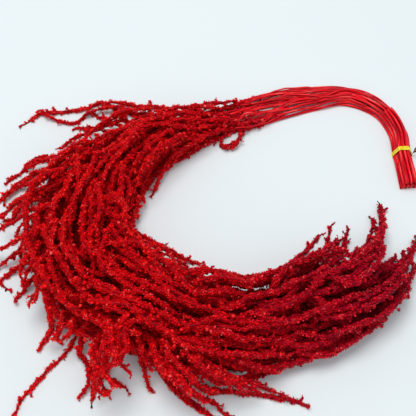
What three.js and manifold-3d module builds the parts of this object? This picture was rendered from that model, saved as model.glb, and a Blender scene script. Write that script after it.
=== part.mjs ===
// A tied bunch of hanging amaranth, lying curled on a table.
//
// Twelve cut stems run side by side through a yellow tie and over an arch. Past the arch each stem
// carries its seed head: a long main tassel with side tassels growing out of it. All tassels follow
// one line that curls round like a C, and some leave it as a loose fringe. Each stem with its head
// grew as one piece, so it is one mesh. The tie is the thirteenth.
//
// Units are millimetres, +Z is up and the table is z = 0.

import * as THREE from "three";
import Module from "manifold-3d";
import { mergeVertices } from "three/addons/utils/BufferGeometryUtils.js";

const wasm = await Module();
wasm.setup();

// The line that the bunch follows on the table, from the cut ends to the furthest tips, as points with
// the half width of the bunch there: [x, y, half width].
const BUNCH_LINE = [
  [225, 25, 12], [221, 67, 11], [219, 101, 12], [202, 133, 13], [161, 153, 14],
  [108, 146, 20], [61, 132, 22], [14, 113, 19], [-25, 96, 26], [-79, 72, 39],
  [-112, 35, 45], [-131, -8, 50], [-134, -43, 50], [-123, -72, 49], [-98, -102, 51],
  [-58, -121, 49], [-10, -141, 46], [46, -145, 39], [100, -127, 41], [151, -106, 38],
  [187, -82, 27], [210, -61, 20], [223, -39, 15],
];
const LINE_STEP = 4;

// Where the middle of the finished bunch's box lies in the plane of that line.
const MIDDLE = [2.8, -36.8];

const STEM_RADIUS = 1.65;
const STEM_SIDES = 5;
const STEM_RING_PITCH = 21;
const TIE_AT = 44;
const BEND_AT = 4;
const BENT_BACK_TO = 104;
const TASSEL_SIDES = 4;
const RING_PITCH = 12;
const MAIN_RING_PITCH = 14;
const RELIEF = 0.4;
const ROUTE_STEP = 7;

// How strands lie on each other: the least gap, the allowance for slopes, and how sharply they sag.
const GAP = 0.45;
const SLOPE_ALLOWANCE = 1.07;
const STEM_SAG = 0.0016;
const TASSEL_SAG = 0.013;
const ROOT_LENGTH = 12;
const ATTEMPTS = 24;

// The tie.
const TIE_WIDTH = 5;
const TIE_THICKNESS = 0.8;
const TIE_CLEARANCE = 0.4;
const TIE_LIFT = TIE_THICKNESS + TIE_CLEARANCE;
const TIE_SIDES = 12;
const TAIL_CORNER = 5;
const TAIL_WIDTH = 1.9;
const TAIL_THICKNESS = 0.9;
const TAIL_TWIST = 0.9;

// The heads in the order in which they lie down. A lane is a share of the half width, + towards the
// inside of the curl: first the stem's lane, then the head's. The last three lie on top, and their
// stems are bent double.
const HEADS = [
  { stem: -0.8, lane: -0.92, begins: 262, ends: 905, sides: 4, seed: 11 },
  { stem: 0.8, lane: 0.92, begins: 250, ends: 880, sides: 3, seed: 23 },
  { stem: 0.0, lane: -0.08, begins: 300, ends: 960, sides: 3, seed: 37 },
  { stem: -0.4, lane: -0.41, begins: 244, ends: 940, sides: 3, seed: 41 },
  { stem: 0.4, lane: 0.41, begins: 276, ends: 955, sides: 3, seed: 59 },
  { stem: -0.6, lane: -0.74, begins: 286, ends: 930, sides: 3, seed: 61 },
  { stem: 0.6, lane: 0.74, begins: 240, ends: 905, sides: 3, seed: 73 },
  { stem: -0.2, lane: -0.25, begins: 310, ends: 925, sides: 3, seed: 89 },
  { stem: 0.2, lane: 0.25, begins: 262, ends: 950, sides: 3, seed: 97 },
  { stem: -0.4, lane: -0.57, begins: 254, ends: 915, sides: 3, seed: 101, bentDouble: true },
  { stem: 0.4, lane: 0.57, begins: 292, ends: 900, sides: 3, seed: 113, bentDouble: true },
  { stem: 0.0, lane: 0.08, begins: 270, ends: 935, sides: 3, seed: 127, bentDouble: true },
];

// Tassels that leave the bunch: the number of the head, the radius, and the points in plan that the
// tassel passes, the first of them near the head's main tassel.
const LOOSE = [
  {
    head: 1,
    radius: 3.2,
    via: [
      [-92, 138], [-122, 143], [-145, 134], [-174, 129],
      [-195, 127], [-208, 118], [-219, 109],
    ],
  },
  {
    head: 6,
    radius: 2.6,
    via: [
      [-115, 128], [-136, 128], [-148, 120], [-159, 112],
      [-173, 116], [-184, 120], [-194, 128],
    ],
  },
  { head: 1, radius: 3.8, via: [[-165, 69], [-191, 62], [-207, 48], [-220, 38], [-227, 30]] },
  { head: 6, radius: 4.0, via: [[-165, 48], [-190, 42], [-210, 30], [-224, 17], [-230, 7]] },
  { head: 1, radius: 3.8, via: [[-165, 36], [-187, 17], [-210, 9], [-219, -3], [-229, -13]] },
  { head: 4, radius: 4.0, via: [[-173, 16], [-195, 5], [-208, -5], [-215, -19], [-228, -28]] },
  { head: 6, radius: 3.8, via: [[-179, -20], [-195, -24], [-204, -31], [-206, -39]] },
  { head: 1, radius: 4.2, via: [[-174, -42], [-190, -36], [-196, -49], [-197, -61], [-195, -74]] },
  { head: 10, radius: 3.4, via: [[-165, -39], [-183, -50], [-200, -60], [-215, -61], [-223, -60]] },
  { head: 6, radius: 3.6, via: [[-170, -52], [-191, -56], [-205, -65], [-219, -73], [-227, -76]] },
  { head: 1, radius: 3.0, via: [[-177, -68], [-199, -76], [-217, -88], [-210, -97], [-204, -100]] },
  { head: 4, radius: 4.4, via: [[-161, -75], [-177, -89], [-188, -97], [-198, -110]] },
  { head: 10, radius: 3.8, via: [[-159, -93], [-165, -109], [-172, -119], [-177, -127]] },
  {
    head: 1,
    radius: 2.4,
    via: [
      [-134, -152], [-136, -158], [-145, -172], [-155, -183], [-166, -196],
      [-175, -208], [-182, -217], [-185, -229], [-188, -238],
    ],
  },
  { head: 6, radius: 4.2, via: [[-152, -98], [-158, -116], [-158, -136], [-163, -152], [-167, -163]] },
  { head: 1, radius: 3.4, via: [[-146, -111], [-147, -135], [-153, -148], [-149, -156]] },
  {
    head: 6,
    radius: 3.6,
    via: [
      [-134, -151], [-126, -168], [-121, -179],
      [-117, -192], [-118, -205], [-124, -212],
    ],
  },
  { head: 1, radius: 4.4, via: [[-111, -149], [-111, -165], [-112, -186], [-112, -203], [-112, -217]] },
  { head: 10, radius: 4.0, via: [[-91, -167], [-92, -181], [-98, -190], [-102, -202], [-107, -214]] },
  { head: 4, radius: 3.8, via: [[-105, -171], [-101, -186], [-91, -196], [-79, -203]] },
  { head: 10, radius: 4.4, via: [[-92, -165], [-84, -185], [-79, -197], [-72, -202]] },
  { head: 1, radius: 3.4, via: [[-112, -168], [-109, -186], [-103, -201], [-96, -209]] },
  { head: 4, radius: 4.0, via: [[-69, -149], [-65, -175], [-62, -191], [-59, -200], [-55, -207]] },
  {
    head: 1,
    radius: 4.0,
    via: [
      [-58, -160], [-47, -187], [-37, -199], [-25, -211],
      [-13, -221], [0, -229], [13, -236],
    ],
  },
  { head: 6, radius: 3.8, via: [[-36, -192], [-21, -211], [-8, -220], [5, -220], [12, -225], [22, -232]] },
  {
    head: 1,
    radius: 3.4,
    via: [
      [-43, -167], [-22, -193], [-3, -204], [21, -206],
      [43, -209], [65, -213], [84, -217], [96, -222],
    ],
  },
  {
    head: 6,
    radius: 3.4,
    via: [
      [-17, -186], [7, -196], [30, -202], [48, -201],
      [60, -206], [69, -210], [75, -215],
    ],
  },
  { head: 10, radius: 4.6, via: [[-55, -174], [-40, -192], [-28, -207], [-17, -217], [-3, -225]] },
  { head: 4, radius: 4.2, via: [[-35, -173], [-21, -192], [-11, -202], [4, -212]] },
  { head: 10, radius: 3.8, via: [[-26, -194], [-3, -204], [16, -207], [33, -209], [46, -211]] },
  { head: 6, radius: 3.4, via: [[7, -179], [30, -189], [46, -191], [57, -193], [67, -195]] },
  { head: 2, radius: 3.8, via: [[65, -83], [86, -71], [103, -55], [121, -34]] },
  { head: 7, radius: 3.6, via: [[95, -84], [111, -70], [125, -53], [130, -38], [133, -23]] },
  { head: 2, radius: 4.0, via: [[107, -74], [124, -67], [134, -55], [142, -40]] },
  { head: 7, radius: 3.4, via: [[116, -80], [132, -71], [144, -54], [148, -38], [152, -26]] },
  { head: 7, radius: 3.8, via: [[112, -100], [130, -87], [146, -73], [160, -54]] },
  {
    head: 11,
    radius: 4.6,
    via: [
      [128, -104], [146, -90], [166, -69], [179, -47],
      [188, -26], [188, -11], [192, 3],
    ],
  },
  { head: 2, radius: 3.0, via: [[138, -88], [156, -67], [169, -50], [175, -35], [181, -18]] },
  { head: 9, radius: 3.6, via: [[135, -141], [164, -120], [189, -98], [204, -82], [212, -66]] },
  {
    head: 12,
    radius: 3.8,
    via: [
      [117, -171], [149, -154], [177, -129],
      [197, -105], [210, -86], [222, -68],
    ],
  },
  { head: 7, radius: 3.2, via: [[-36, 77], [-53, 55], [-64, 39], [-73, 21], [-71, 6]] },
  { head: 2, radius: 3.4, via: [[-25, 86], [-40, 58], [-51, 40], [-58, 23], [-64, 14]] },
  { head: 7, radius: 2.4, via: [[49, 109], [39, 94], [29, 85], [16, 81]] },
  { head: 10, radius: 4.2, via: [[-164, -78], [-175, -85], [-182, -94], [-187, -104]] },
];

// Even random numbers from 0 to 1, the same on each run.
class Draw {
  constructor(seed) {
    this.state = seed * 7919;
  }
  next() {
    this.state = (this.state * 48271) % 2147483647;
    return this.state / 2147483647;
  }
  between(low, high) {
    return low + (high - low) * this.next();
  }
}

// A smooth curve through the points, as points at an even step along its plan.
function smoothRoute(points, step) {
  const curve = new THREE.CatmullRomCurve3(
    points.map((p) => new THREE.Vector3(...p)),
    false,
    "catmullrom",
    0.5,
  );
  return evenly(curve.getPoints(12 * (points.length - 1)), step);
}

// The same polyline, with a point at every step of its length in plan and one at its end.
function evenly(points, step) {
  const even = [points[0].clone()];
  let left = step;
  for (let i = 1; i < points.length; i++) {
    const [a, b] = [points[i - 1], points[i]];
    const length = Math.hypot(b.x - a.x, b.y - a.y);
    let at = left;
    for (; at < length; at += step) even.push(a.clone().lerp(b, at / length));
    left = at - length;
  }
  const last = points[points.length - 1];
  if (even[even.length - 1].distanceTo(last) > step / 2) even.push(last.clone());
  else even[even.length - 1].copy(last);
  return even;
}

const bunchLine = smoothRoute(BUNCH_LINE, LINE_STEP);

// The place a distance along the bunch's line, moved sideways by a share of the half width there.
function onLine(along, share) {
  const at = Math.min(Math.max(along / LINE_STEP, 0), bunchLine.length - 1.001);
  const i = Math.floor(at);
  const here = bunchLine[i].clone().lerp(bunchLine[i + 1], at - i);
  const before = bunchLine[Math.max(i - 1, 0)];
  const after = bunchLine[Math.min(i + 2, bunchLine.length - 1)];
  const run = Math.hypot(after.x - before.x, after.y - before.y);
  const inward = [-(after.y - before.y) / run, (after.x - before.x) / run];
  const across = share * here.z;
  return new THREE.Vector3(here.x + inward[0] * across, here.y + inward[1] * across, 0);
}

const smoothStep = (x) => {
  const t = Math.min(Math.max(x, 0), 1);
  return t * t * (3 - 2 * t);
};

// Every strand that already lies on the table, as { head, points, radii, box }.
const laid = [];

function boxOf(points, margin) {
  const xs = points.map((p) => p.x);
  const ys = points.map((p) => p.y);
  return [
    Math.min(...xs) - margin,
    Math.min(...ys) - margin,
    Math.max(...xs) + margin,
    Math.max(...ys) + margin,
  ];
}

// Calls back with each stretch of each laid strand that passes near the point in plan.
function eachStretchNear(p, margin, visit) {
  for (const other of laid) {
    const [x0, y0, x1, y1] = other.box;
    if (p.x < x0 - margin || p.x > x1 + margin || p.y < y0 - margin || p.y > y1 + margin) continue;
    for (let i = 1; i < other.points.length; i++) {
      const [a, b] = [other.points[i - 1], other.points[i]];
      const [dx, dy] = [b.x - a.x, b.y - a.y];
      const share = ((p.x - a.x) * dx + (p.y - a.y) * dy) / (dx * dx + dy * dy + 1e-12);
      const t = Math.min(Math.max(share, 0), 1);
      const distance = Math.hypot(p.x - a.x - dx * t, p.y - a.y - dy * t);
      if (distance > margin + 12) continue;
      const radius = other.radii[i - 1] + (other.radii[i] - other.radii[i - 1]) * t;
      visit(other, a.z + (b.z - a.z) * t, distance, radius, a, b);
    }
  }
}

// Lets a strand down on what lies there already: each point rests on the table or on other strands,
// and the strand bridges the hollows between them.
function lay(head, route, radii, { sag, floorShare, root, lift }) {
  const need = route.map((p, i) => floorRest(p, radii[i], floorShare) + (lift ? lift[i] : 0));
  route.forEach((p, i) => {
    const nearRoot = root && root.distanceTo(new THREE.Vector3(p.x, p.y, root.z)) < ROOT_LENGTH;
    eachStretchNear(p, radii[i], (other, z, distance, radius) => {
      if (nearRoot && other.head === head) return;
      const reach = (radii[i] + radius) * SLOPE_ALLOWANCE + GAP;
      if (distance < reach) need[i] = Math.max(need[i], z + Math.sqrt(reach * reach - distance * distance));
    });
  });
  if (root) need[0] = root.z;
  const points = route.map((p, i) => {
    let z = need[i];
    for (let j = 0; j < route.length; j++) {
      if (root && i === 0) break;
      const apart = Math.abs(j - i) * ROUTE_STEP;
      z = Math.max(z, need[j] - sag(i) * apart * apart);
    }
    return new THREE.Vector3(p.x, p.y, z);
  });
  return { head, points, radii, box: boxOf(points, Math.max(...radii)) };
}

// The least height of a strand's middle: on the table, or on the tie's lower side.
const tiePlace = onLine(TIE_AT, 0);
function floorRest(p, radius, floorShare) {
  const onTie = Math.hypot(p.x - tiePlace.x, p.y - tiePlace.y) < 14;
  return onTie ? radius + TIE_LIFT : radius * floorShare;
}

// True where a strand passes through one of another head.
function meetsAnotherHead(strand) {
  let meets = false;
  for (let i = 1; i < strand.points.length; i++) {
    for (const t of [0.33, 0.67, 1]) {
      const p = strand.points[i - 1].clone().lerp(strand.points[i], t);
      const own = strand.radii[i - 1] + (strand.radii[i] - strand.radii[i - 1]) * t;
      eachStretchNear(p, own, (other, z, distance, radius, a, b) => {
        if (other.head === strand.head) return;
        const closest = new THREE.Line3(a, b).closestPointToPoint(p, true, new THREE.Vector3());
        if (closest.distanceTo(p) < own + radius + 0.15) meets = true;
      });
    }
  }
  return meets;
}

// A tassel is thin at its root, swells over a length, and runs out to a blunt tip.
function tasselRadii(count, radius, swellLength) {
  const root = swellLength / ROUTE_STEP;
  const tip = 34 / ROUTE_STEP;
  return Array.from({ length: count }, (_, i) => {
    const swell = 0.48 + 0.52 * smoothStep(i / root);
    const fade = 0.42 + 0.58 * smoothStep((count - 1 - i) / tip);
    return radius * Math.min(swell, fade);
  });
}

// The main line of a head: its stem first, then its main tassel.
function mainStrand(head, index) {
  const draw = new Draw(head.seed);
  const [wave, turn] = [draw.between(0.015, 0.045), draw.between(0, Math.PI * 2)];
  const plan = [];
  for (let along = head.bentDouble ? BEND_AT : 0; along < head.ends; along += ROUTE_STEP) {
    const loose = smoothStep((along - TIE_AT) / 70);
    const sway = wave * loose * Math.sin(along / 38 + turn);
    const lane = head.stem + (head.lane - head.stem) * smoothStep((along - 120) / 170);
    plan.push(onLine(along, lane + sway));
  }
  const route = evenly(plan, ROUTE_STEP);
  const headStart = route.indexOf(nearest(route, onLine(head.begins, head.lane)));
  const full = draw.between(4.1, 4.7);
  const tassel = tasselRadii(route.length - headStart, full, 170);
  const radii = route.map((_, i) => (i < headStart ? STEM_RADIUS : tassel[i - headStart]));
  const sag = (i) => (i < headStart ? STEM_SAG : TASSEL_SAG);
  const strand = lay(index, route, radii, { sag, floorShare: 0.8 });
  const [stemPoints, headPoints] = [strand.points.slice(0, headStart + 3), strand.points.slice(headStart)];
  strand.stem = spaced(stemPoints, radii, STEM_RING_PITCH).points;
  strand.rings = spaced(headPoints, radii.slice(headStart), MAIN_RING_PITCH);
  return strand;
}

function nearest(points, place) {
  const away = (p) => Math.hypot(p.x - place.x, p.y - place.y);
  return points.reduce((best, p) => (away(p) < away(best) ? p : best));
}

// A side tassel leaves the main one, swings out beside it and then runs with the bunch. Of several
// ways to go it takes the one that lies lowest.
function sideStrand(head, index, main, draw, number) {
  const span = head.ends - head.begins;
  const from = head.begins + 75 + (span - 205) * ((number + draw.between(0.1, 0.9)) / head.sides);
  const length = draw.between(130, 200);
  const radius = draw.between(3.6, 4.4);
  const bend = smoothStep((from - 300) / 90) * (1 - smoothStep((from - 600) / 120));
  let lowest = null;
  for (let attempt = 0; attempt < ATTEMPTS; attempt++) {
    const swing = draw.between(0.1, 0.42) * (draw.next() < 0.5 ? 1 : -1);
    const drift = bend * draw.between(0, 0.75);
    const [wave, turn] = [draw.between(0.02, 0.07), draw.between(0, Math.PI * 2)];
    const plan = [];
    for (let along = 0; along < length; along += ROUTE_STEP) {
      const loosened = swing * smoothStep(along / 40) - drift * (along / 165) ** 2;
      const out = Math.min(Math.max(loosened, -1.12 - head.lane), 1.05 - head.lane);
      const sway = wave * smoothStep(along / 60) * Math.sin((from + along) / 26 + turn);
      plan.push(onLine(from + along, head.lane + out + sway));
    }
    const root = nearest(main.rings.points, plan[0]);
    plan[0].set(root.x, root.y, 0);
    const route = evenly(plan, ROUTE_STEP);
    const radii = tasselRadii(route.length, radius, 16);
    const strand = lay(index, route, radii, { sag: () => TASSEL_SAG, floorShare: 0.5, root });
    strand.height = strand.points.reduce((sum, p) => sum + p.z, 0) / strand.points.length;
    if (meetsAnotherHead(strand)) continue;
    if (lowest === null || strand.height < lowest.height) lowest = strand;
  }
  return lowest;
}

// A loose tassel leaves the main one of its head and passes its own points.
function looseStrand(loose, index, main) {
  const root = nearest(main.rings.points, new THREE.Vector2(...loose.via[0]));
  const plan = [[root.x, root.y, 0], ...loose.via.slice(1).map(([x, y]) => [x, y, 0])];
  const route = smoothRoute(plan, ROUTE_STEP);
  const radii = tasselRadii(route.length, loose.radius, 16);
  return lay(index, route, radii, { sag: () => TASSEL_SAG, floorShare: 0.6, root });
}

// The end of a bent stem runs back on top of the others, and a half circle joins it to the stem.
function bentBack(head, index, main) {
  const plan = [];
  for (let along = BEND_AT; along < BENT_BACK_TO; along += ROUTE_STEP) {
    plan.push(onLine(along, head.stem * 0.92));
  }
  const route = evenly(plan, ROUTE_STEP);
  const radii = route.map(() => STEM_RADIUS);
  const lift = route.map((_, i) => 1.2 * (1 - smoothStep(i / 4)));
  const back = lay(index, route, radii, { sag: () => STEM_SAG, floorShare: 1, lift });
  laid.push(back);
  const low = main.points[0];
  const high = back.points[0];
  const outward = onLine(0, 0).sub(onLine(12, 0)).normalize();
  const middle = low.clone().lerp(high, 0.5);
  const radius = low.distanceTo(high) / 2;
  const turn = [45, 90, 135].map((degrees) => {
    const angle = (degrees * Math.PI) / 180;
    const across = high.clone().sub(middle).multiplyScalar(Math.cos(angle));
    return middle.clone().add(across).addScaledVector(outward, radius * Math.sin(angle));
  });
  const straight = spaced(back.points, radii, STEM_RING_PITCH).points;
  return [...straight.reverse(), ...turn];
}

// Turns a line of rings into a closed rope. Every other corner of a ring stands out and the rest lie
// low, and the next ring has them the other way round, so that the surface is covered with knobs.
function rope({ points, radii }, sides, relief, draw) {
  const vertices = [];
  const faces = [];
  const up = new THREE.Vector3(0, 0, 1);
  const ring = (i) => 1 + i * sides;
  let side = null;
  points.forEach((p, i) => {
    const ahead = points[Math.min(i + 1, points.length - 1)];
    const behind = points[Math.max(i - 1, 0)];
    const along = ahead.clone().sub(behind).normalize();
    side = side ?? new THREE.Vector3().crossVectors(along, up).normalize();
    side = side.addScaledVector(along, -side.dot(along)).normalize().clone();
    const above = new THREE.Vector3().crossVectors(side, along);
    for (let k = 0; k < sides; k++) {
      const turn = ((k + 0.5) / sides) * Math.PI * 2 - Math.PI / 2;
      const low = relief > 0 && (k + i) % 2 === 1;
      const rough = relief > 0 ? draw.between(0.86, 1) : 1;
      const radius = radii[i] * (low ? 1 - relief : 1) * rough;
      const v = p
        .clone()
        .addScaledVector(side, Math.cos(turn) * radius)
        .addScaledVector(above, Math.sin(turn) * radius);
      vertices.push(v.x, v.y, Math.max(v.z, 0));
    }
  });
  const start = points[0].clone().lerp(points[1], -0.12);
  const last = points.length - 1;
  const end = points[last].clone().lerp(points[last - 1], relief > 0 ? -0.4 : -0.02);
  vertices.unshift(start.x, start.y, Math.max(start.z, 0));
  vertices.push(end.x, end.y, Math.max(end.z, 0));
  for (let k = 0; k < sides; k++) {
    const next = (k + 1) % sides;
    faces.push(0, ring(0) + k, ring(0) + next);
    faces.push(ring(last) + next, ring(last) + k, ring(last + 1));
    for (let i = 0; i < last; i++) {
      const [a, b, c, d] = [ring(i) + k, ring(i) + next, ring(i + 1) + k, ring(i + 1) + next];
      if ((k + i) % 2 === 0) faces.push(a, c, b, b, c, d);
      else faces.push(a, d, b, a, c, d);
    }
  }
  const geometry = new THREE.BufferGeometry();
  geometry.setAttribute("position", new THREE.Float32BufferAttribute(vertices, 3));
  geometry.setIndex(faces);
  return geometry;
}

function solidOf(geometry) {
  const bare = geometry.clone();
  for (const name of ["normal", "uv"]) bare.deleteAttribute(name);
  const merged = mergeVertices(bare, 1e-4);
  const vertProperties = merged.attributes.position.array;
  const triVerts = new Uint32Array(merged.index.array);
  return new wasm.Manifold(new wasm.Mesh({ numProp: 3, vertProperties, triVerts }));
}

function geometryOf(solid) {
  const { vertProperties, triVerts } = solid.getMesh();
  const geometry = new THREE.BufferGeometry();
  geometry.setAttribute("position", new THREE.BufferAttribute(vertProperties, 3));
  geometry.setIndex(new THREE.BufferAttribute(triVerts, 1));
  return geometry;
}

// The radii at points that were spaced out again along the same strand.
function spaced(points, radii, pitch) {
  const routeLine = points.map((p, i) => ({ p, r: radii[i] }));
  const line = [routeLine[0]];
  let left = pitch;
  for (let i = 1; i < routeLine.length; i++) {
    const [a, b] = [routeLine[i - 1], routeLine[i]];
    const length = a.p.distanceTo(b.p);
    let at = left;
    for (; at < length; at += pitch) {
      line.push({ p: a.p.clone().lerp(b.p, at / length), r: a.r + ((b.r - a.r) * at) / length });
    }
    left = at - length;
  }
  const tail = routeLine[routeLine.length - 1];
  if (line[line.length - 1].p.distanceTo(tail.p) > pitch / 2) line.push(tail);
  return { points: line.map((x) => x.p), radii: line.map((x) => x.r) };
}

// The tie is a flat band round all the stems that pass it, and the twisted ends of the band stand up
// beside them.
function tieSolid() {
  const along = onLine(TIE_AT + 6, 0).sub(onLine(TIE_AT - 6, 0)).normalize();
  const across = new THREE.Vector3(-along.y, along.x, 0);
  const near = [];
  for (const strand of laid) {
    for (let i = 1; i < strand.points.length; i++) {
      for (const t of [0, 0.25, 0.5, 0.75]) {
        const p = strand.points[i - 1].clone().lerp(strand.points[i], t).sub(tiePlace);
        const passes = Math.abs(p.dot(along)) < TIE_WIDTH / 2 + 3 && Math.abs(p.dot(across)) < 20;
        if (passes) near.push([p.dot(across), p.z]);
      }
    }
  }
  const reach = Array.from({ length: TIE_SIDES }, (_, k) => {
    const angle = (k / TIE_SIDES) * Math.PI * 2;
    return Math.max(...near.map(([u, z]) => u * Math.cos(angle) + z * Math.sin(angle)));
  });
  // The corner between two neighbouring faces that stand off the stems by a distance.
  const corner = (k, off) => {
    const [a, b] = [(k / TIE_SIDES) * Math.PI * 2, ((k + 1) / TIE_SIDES) * Math.PI * 2];
    const [ra, rb] = [reach[k] + off, reach[(k + 1) % TIE_SIDES] + off];
    const det = Math.sin(b - a);
    const u = (ra * Math.sin(b) - rb * Math.sin(a)) / det;
    const z = (rb * Math.cos(a) - ra * Math.cos(b)) / det;
    return [u, Math.max(z, 0)];
  };
  const vertices = [];
  const faces = [];
  for (let k = 0; k < TIE_SIDES; k++) {
    const inner = corner(k, STEM_RADIUS + TIE_CLEARANCE);
    const outer = corner(k, STEM_RADIUS + TIE_CLEARANCE + TIE_THICKNESS);
    for (const [[u, z], end] of [[inner, -1], [outer, -1], [outer, 1], [inner, 1]]) {
      const p = tiePlace.clone().addScaledVector(across, u).addScaledVector(along, (end * TIE_WIDTH) / 2);
      vertices.push(p.x, p.y, z);
    }
    const next = ((k + 1) % TIE_SIDES) * 4;
    for (let c = 0; c < 4; c++) {
      const [a, b, d, e] = [k * 4 + c, k * 4 + ((c + 1) % 4), next + c, next + ((c + 1) % 4)];
      faces.push(a, d, b, b, d, e);
    }
  }
  const band = new THREE.BufferGeometry();
  band.setAttribute("position", new THREE.Float32BufferAttribute(vertices, 3));
  band.setIndex(faces);
  // The tail stands on the outer side: a twisted foot that parts into two ends.
  const side = corner(TAIL_CORNER, STEM_RADIUS + TIE_CLEARANCE + TIE_THICKNESS / 2);
  const at = (out, up, end) =>
    tiePlace
      .clone()
      .addScaledVector(across, side[0] - out)
      .addScaledVector(along, end)
      .setZ(side[1] + up);
  const lower = [at(-0.3, -0.6, 0), at(1.2, 1.2, 0.2), at(2.2, 3.4, 0)];
  const firstEnd = [at(2.6, 5.8, 0.6), at(3.4, 7.6, 2.2), at(5.2, 8.6, 4.4)];
  const secondEnd = [at(1.6, 3.2, 0.2), at(2.4, 5.2, 0), at(2.0, 7.4, -1.4), at(3.2, 8.8, -3.8)];
  let solid = solidOf(band);
  for (const points of [[...lower, ...firstEnd], secondEnd]) {
    solid = solid.add(solidOf(twistedStrip(points)));
  }
  return solid;
}

// A flat strip that turns about its own length as it goes.
function twistedStrip(points) {
  const vertices = [];
  const faces = [];
  points.forEach((p, i) => {
    const ahead = points[Math.min(i + 1, points.length - 1)];
    const along = ahead.clone().sub(points[Math.max(i - 1, 0)]).normalize();
    const first = new THREE.Vector3(0.31, 0.95, 0.05).cross(along).normalize();
    const second = along.clone().cross(first);
    const turn = i * TAIL_TWIST;
    const wide = first.clone().multiplyScalar(Math.cos(turn)).addScaledVector(second, Math.sin(turn));
    const thin = along.clone().cross(wide);
    for (const [u, v] of [[-1, -1], [1, -1], [1, 1], [-1, 1]]) {
      const q = p
        .clone()
        .addScaledVector(wide, (u * TAIL_WIDTH) / 2)
        .addScaledVector(thin, (v * TAIL_THICKNESS) / 2);
      vertices.push(q.x, q.y, q.z);
    }
  });
  const last = (points.length - 1) * 4;
  for (let i = 0; i < last; i += 4) {
    for (let c = 0; c < 4; c++) {
      const [a, b, d, e] = [i + c, i + ((c + 1) % 4), i + 4 + c, i + 4 + ((c + 1) % 4)];
      faces.push(a, b, d, b, e, d);
    }
  }
  faces.push(0, 2, 1, 0, 3, 2, last, last + 1, last + 2, last, last + 2, last + 3);
  const strip = new THREE.BufferGeometry();
  strip.setAttribute("position", new THREE.Float32BufferAttribute(vertices, 3));
  strip.setIndex(faces);
  return strip;
}

const DYED = new THREE.MeshStandardMaterial({ color: 0xc00810, roughness: 0.85, metalness: 0 });
const YELLOW = new THREE.MeshStandardMaterial({ color: 0xf2d21a, roughness: 0.45, metalness: 0 });

const bunch = new THREE.Group();
bunch.position.set(-MIDDLE[0], -MIDDLE[1], 0);

function addPiece(name, solid, material) {
  const mesh = new THREE.Mesh(geometryOf(solid), material);
  mesh.name = name;
  bunch.add(mesh);
}

const tasselSolid = (strand, knobs) =>
  solidOf(rope(spaced(strand.points, strand.radii, RING_PITCH), TASSEL_SIDES, RELIEF, knobs));

HEADS.forEach((head, index) => {
  const [draw, knobs] = [new Draw(head.seed + 500), new Draw(head.seed + 900)];
  const main = mainStrand(head, index);
  laid.push(main);
  const stem = head.bentDouble ? [...bentBack(head, index, main), ...main.stem] : main.stem;
  let solid = solidOf(rope({ points: stem, radii: stem.map(() => STEM_RADIUS) }, STEM_SIDES, 0, knobs));
  solid = solid.add(solidOf(rope(main.rings, TASSEL_SIDES, RELIEF, knobs)));
  for (let number = 0; number < head.sides; number++) {
    const side = sideStrand(head, index, main, draw, number);
    if (side === null) continue;
    laid.push(side);
    solid = solid.add(tasselSolid(side, knobs));
  }
  for (const loose of LOOSE.filter((entry) => entry.head === index + 1)) {
    const strand = looseStrand(loose, index, main);
    laid.push(strand);
    solid = solid.add(tasselSolid(strand, knobs));
  }
  addPiece("seed_head_" + String(index + 1).padStart(2, "0"), solid, DYED);
});

addPiece("tie", tieSolid(), YELLOW);

export default bunch;
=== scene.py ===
# %% [markdown]
# # A tied bunch of hanging amaranth
# The real thing is a florist's bunch: long stems of amaranth, dyed red, held by a yellow tie, with
# soft tassels of tiny flowers that curl round on the table like a letter C. The solid model already
# says where each stem and each tassel lies. This script dresses it: it lays the same strands again,
# and Geometry Nodes cover them with flowers.

# %% Load the model and keep its box
import math

import bmesh
import bpy
import numpy as np
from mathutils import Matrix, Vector
from mathutils.bvhtree import BVHTree


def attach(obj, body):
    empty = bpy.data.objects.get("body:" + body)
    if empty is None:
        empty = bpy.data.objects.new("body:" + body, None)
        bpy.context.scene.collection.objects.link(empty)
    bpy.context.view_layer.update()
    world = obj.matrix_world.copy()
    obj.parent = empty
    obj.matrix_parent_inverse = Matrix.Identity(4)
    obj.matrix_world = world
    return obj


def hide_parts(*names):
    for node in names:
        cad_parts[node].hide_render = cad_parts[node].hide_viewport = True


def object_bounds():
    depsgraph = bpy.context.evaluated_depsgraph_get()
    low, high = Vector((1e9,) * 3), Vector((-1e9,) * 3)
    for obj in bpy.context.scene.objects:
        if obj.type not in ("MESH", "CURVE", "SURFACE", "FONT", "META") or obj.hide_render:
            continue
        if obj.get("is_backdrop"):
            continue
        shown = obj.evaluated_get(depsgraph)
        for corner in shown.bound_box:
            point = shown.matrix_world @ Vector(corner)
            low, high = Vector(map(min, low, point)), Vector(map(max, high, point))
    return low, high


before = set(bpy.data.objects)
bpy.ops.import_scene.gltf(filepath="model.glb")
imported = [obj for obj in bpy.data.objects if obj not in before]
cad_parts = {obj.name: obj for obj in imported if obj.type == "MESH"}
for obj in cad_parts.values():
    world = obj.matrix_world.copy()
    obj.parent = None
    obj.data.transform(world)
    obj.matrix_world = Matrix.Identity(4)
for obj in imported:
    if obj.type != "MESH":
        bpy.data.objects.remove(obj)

cad_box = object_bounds()
print("CAD box", cad_box)

# %% [markdown]
# ## Camera, light and table
# The photograph looks down on the bunch from about sixty degrees above a white table. One large
# soft light up on the left gives soft shadows towards the lower right, and a pale sky fills them.
# A slim lens keeps the near and the far side of the bunch at nearly one scale.

# %% The camera
MIDDLE = (2.8, -36.8)  # middle of the bunch's box, in the plane of the line that the bunch follows
VIEW_DISTANCE = 0.9
VIEW_HEIGHT = math.radians(60)
SENSOR = 36
LENS = SENSOR * 818 / 416  # a focal length of 818 columns, in a picture 416 columns wide

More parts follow.
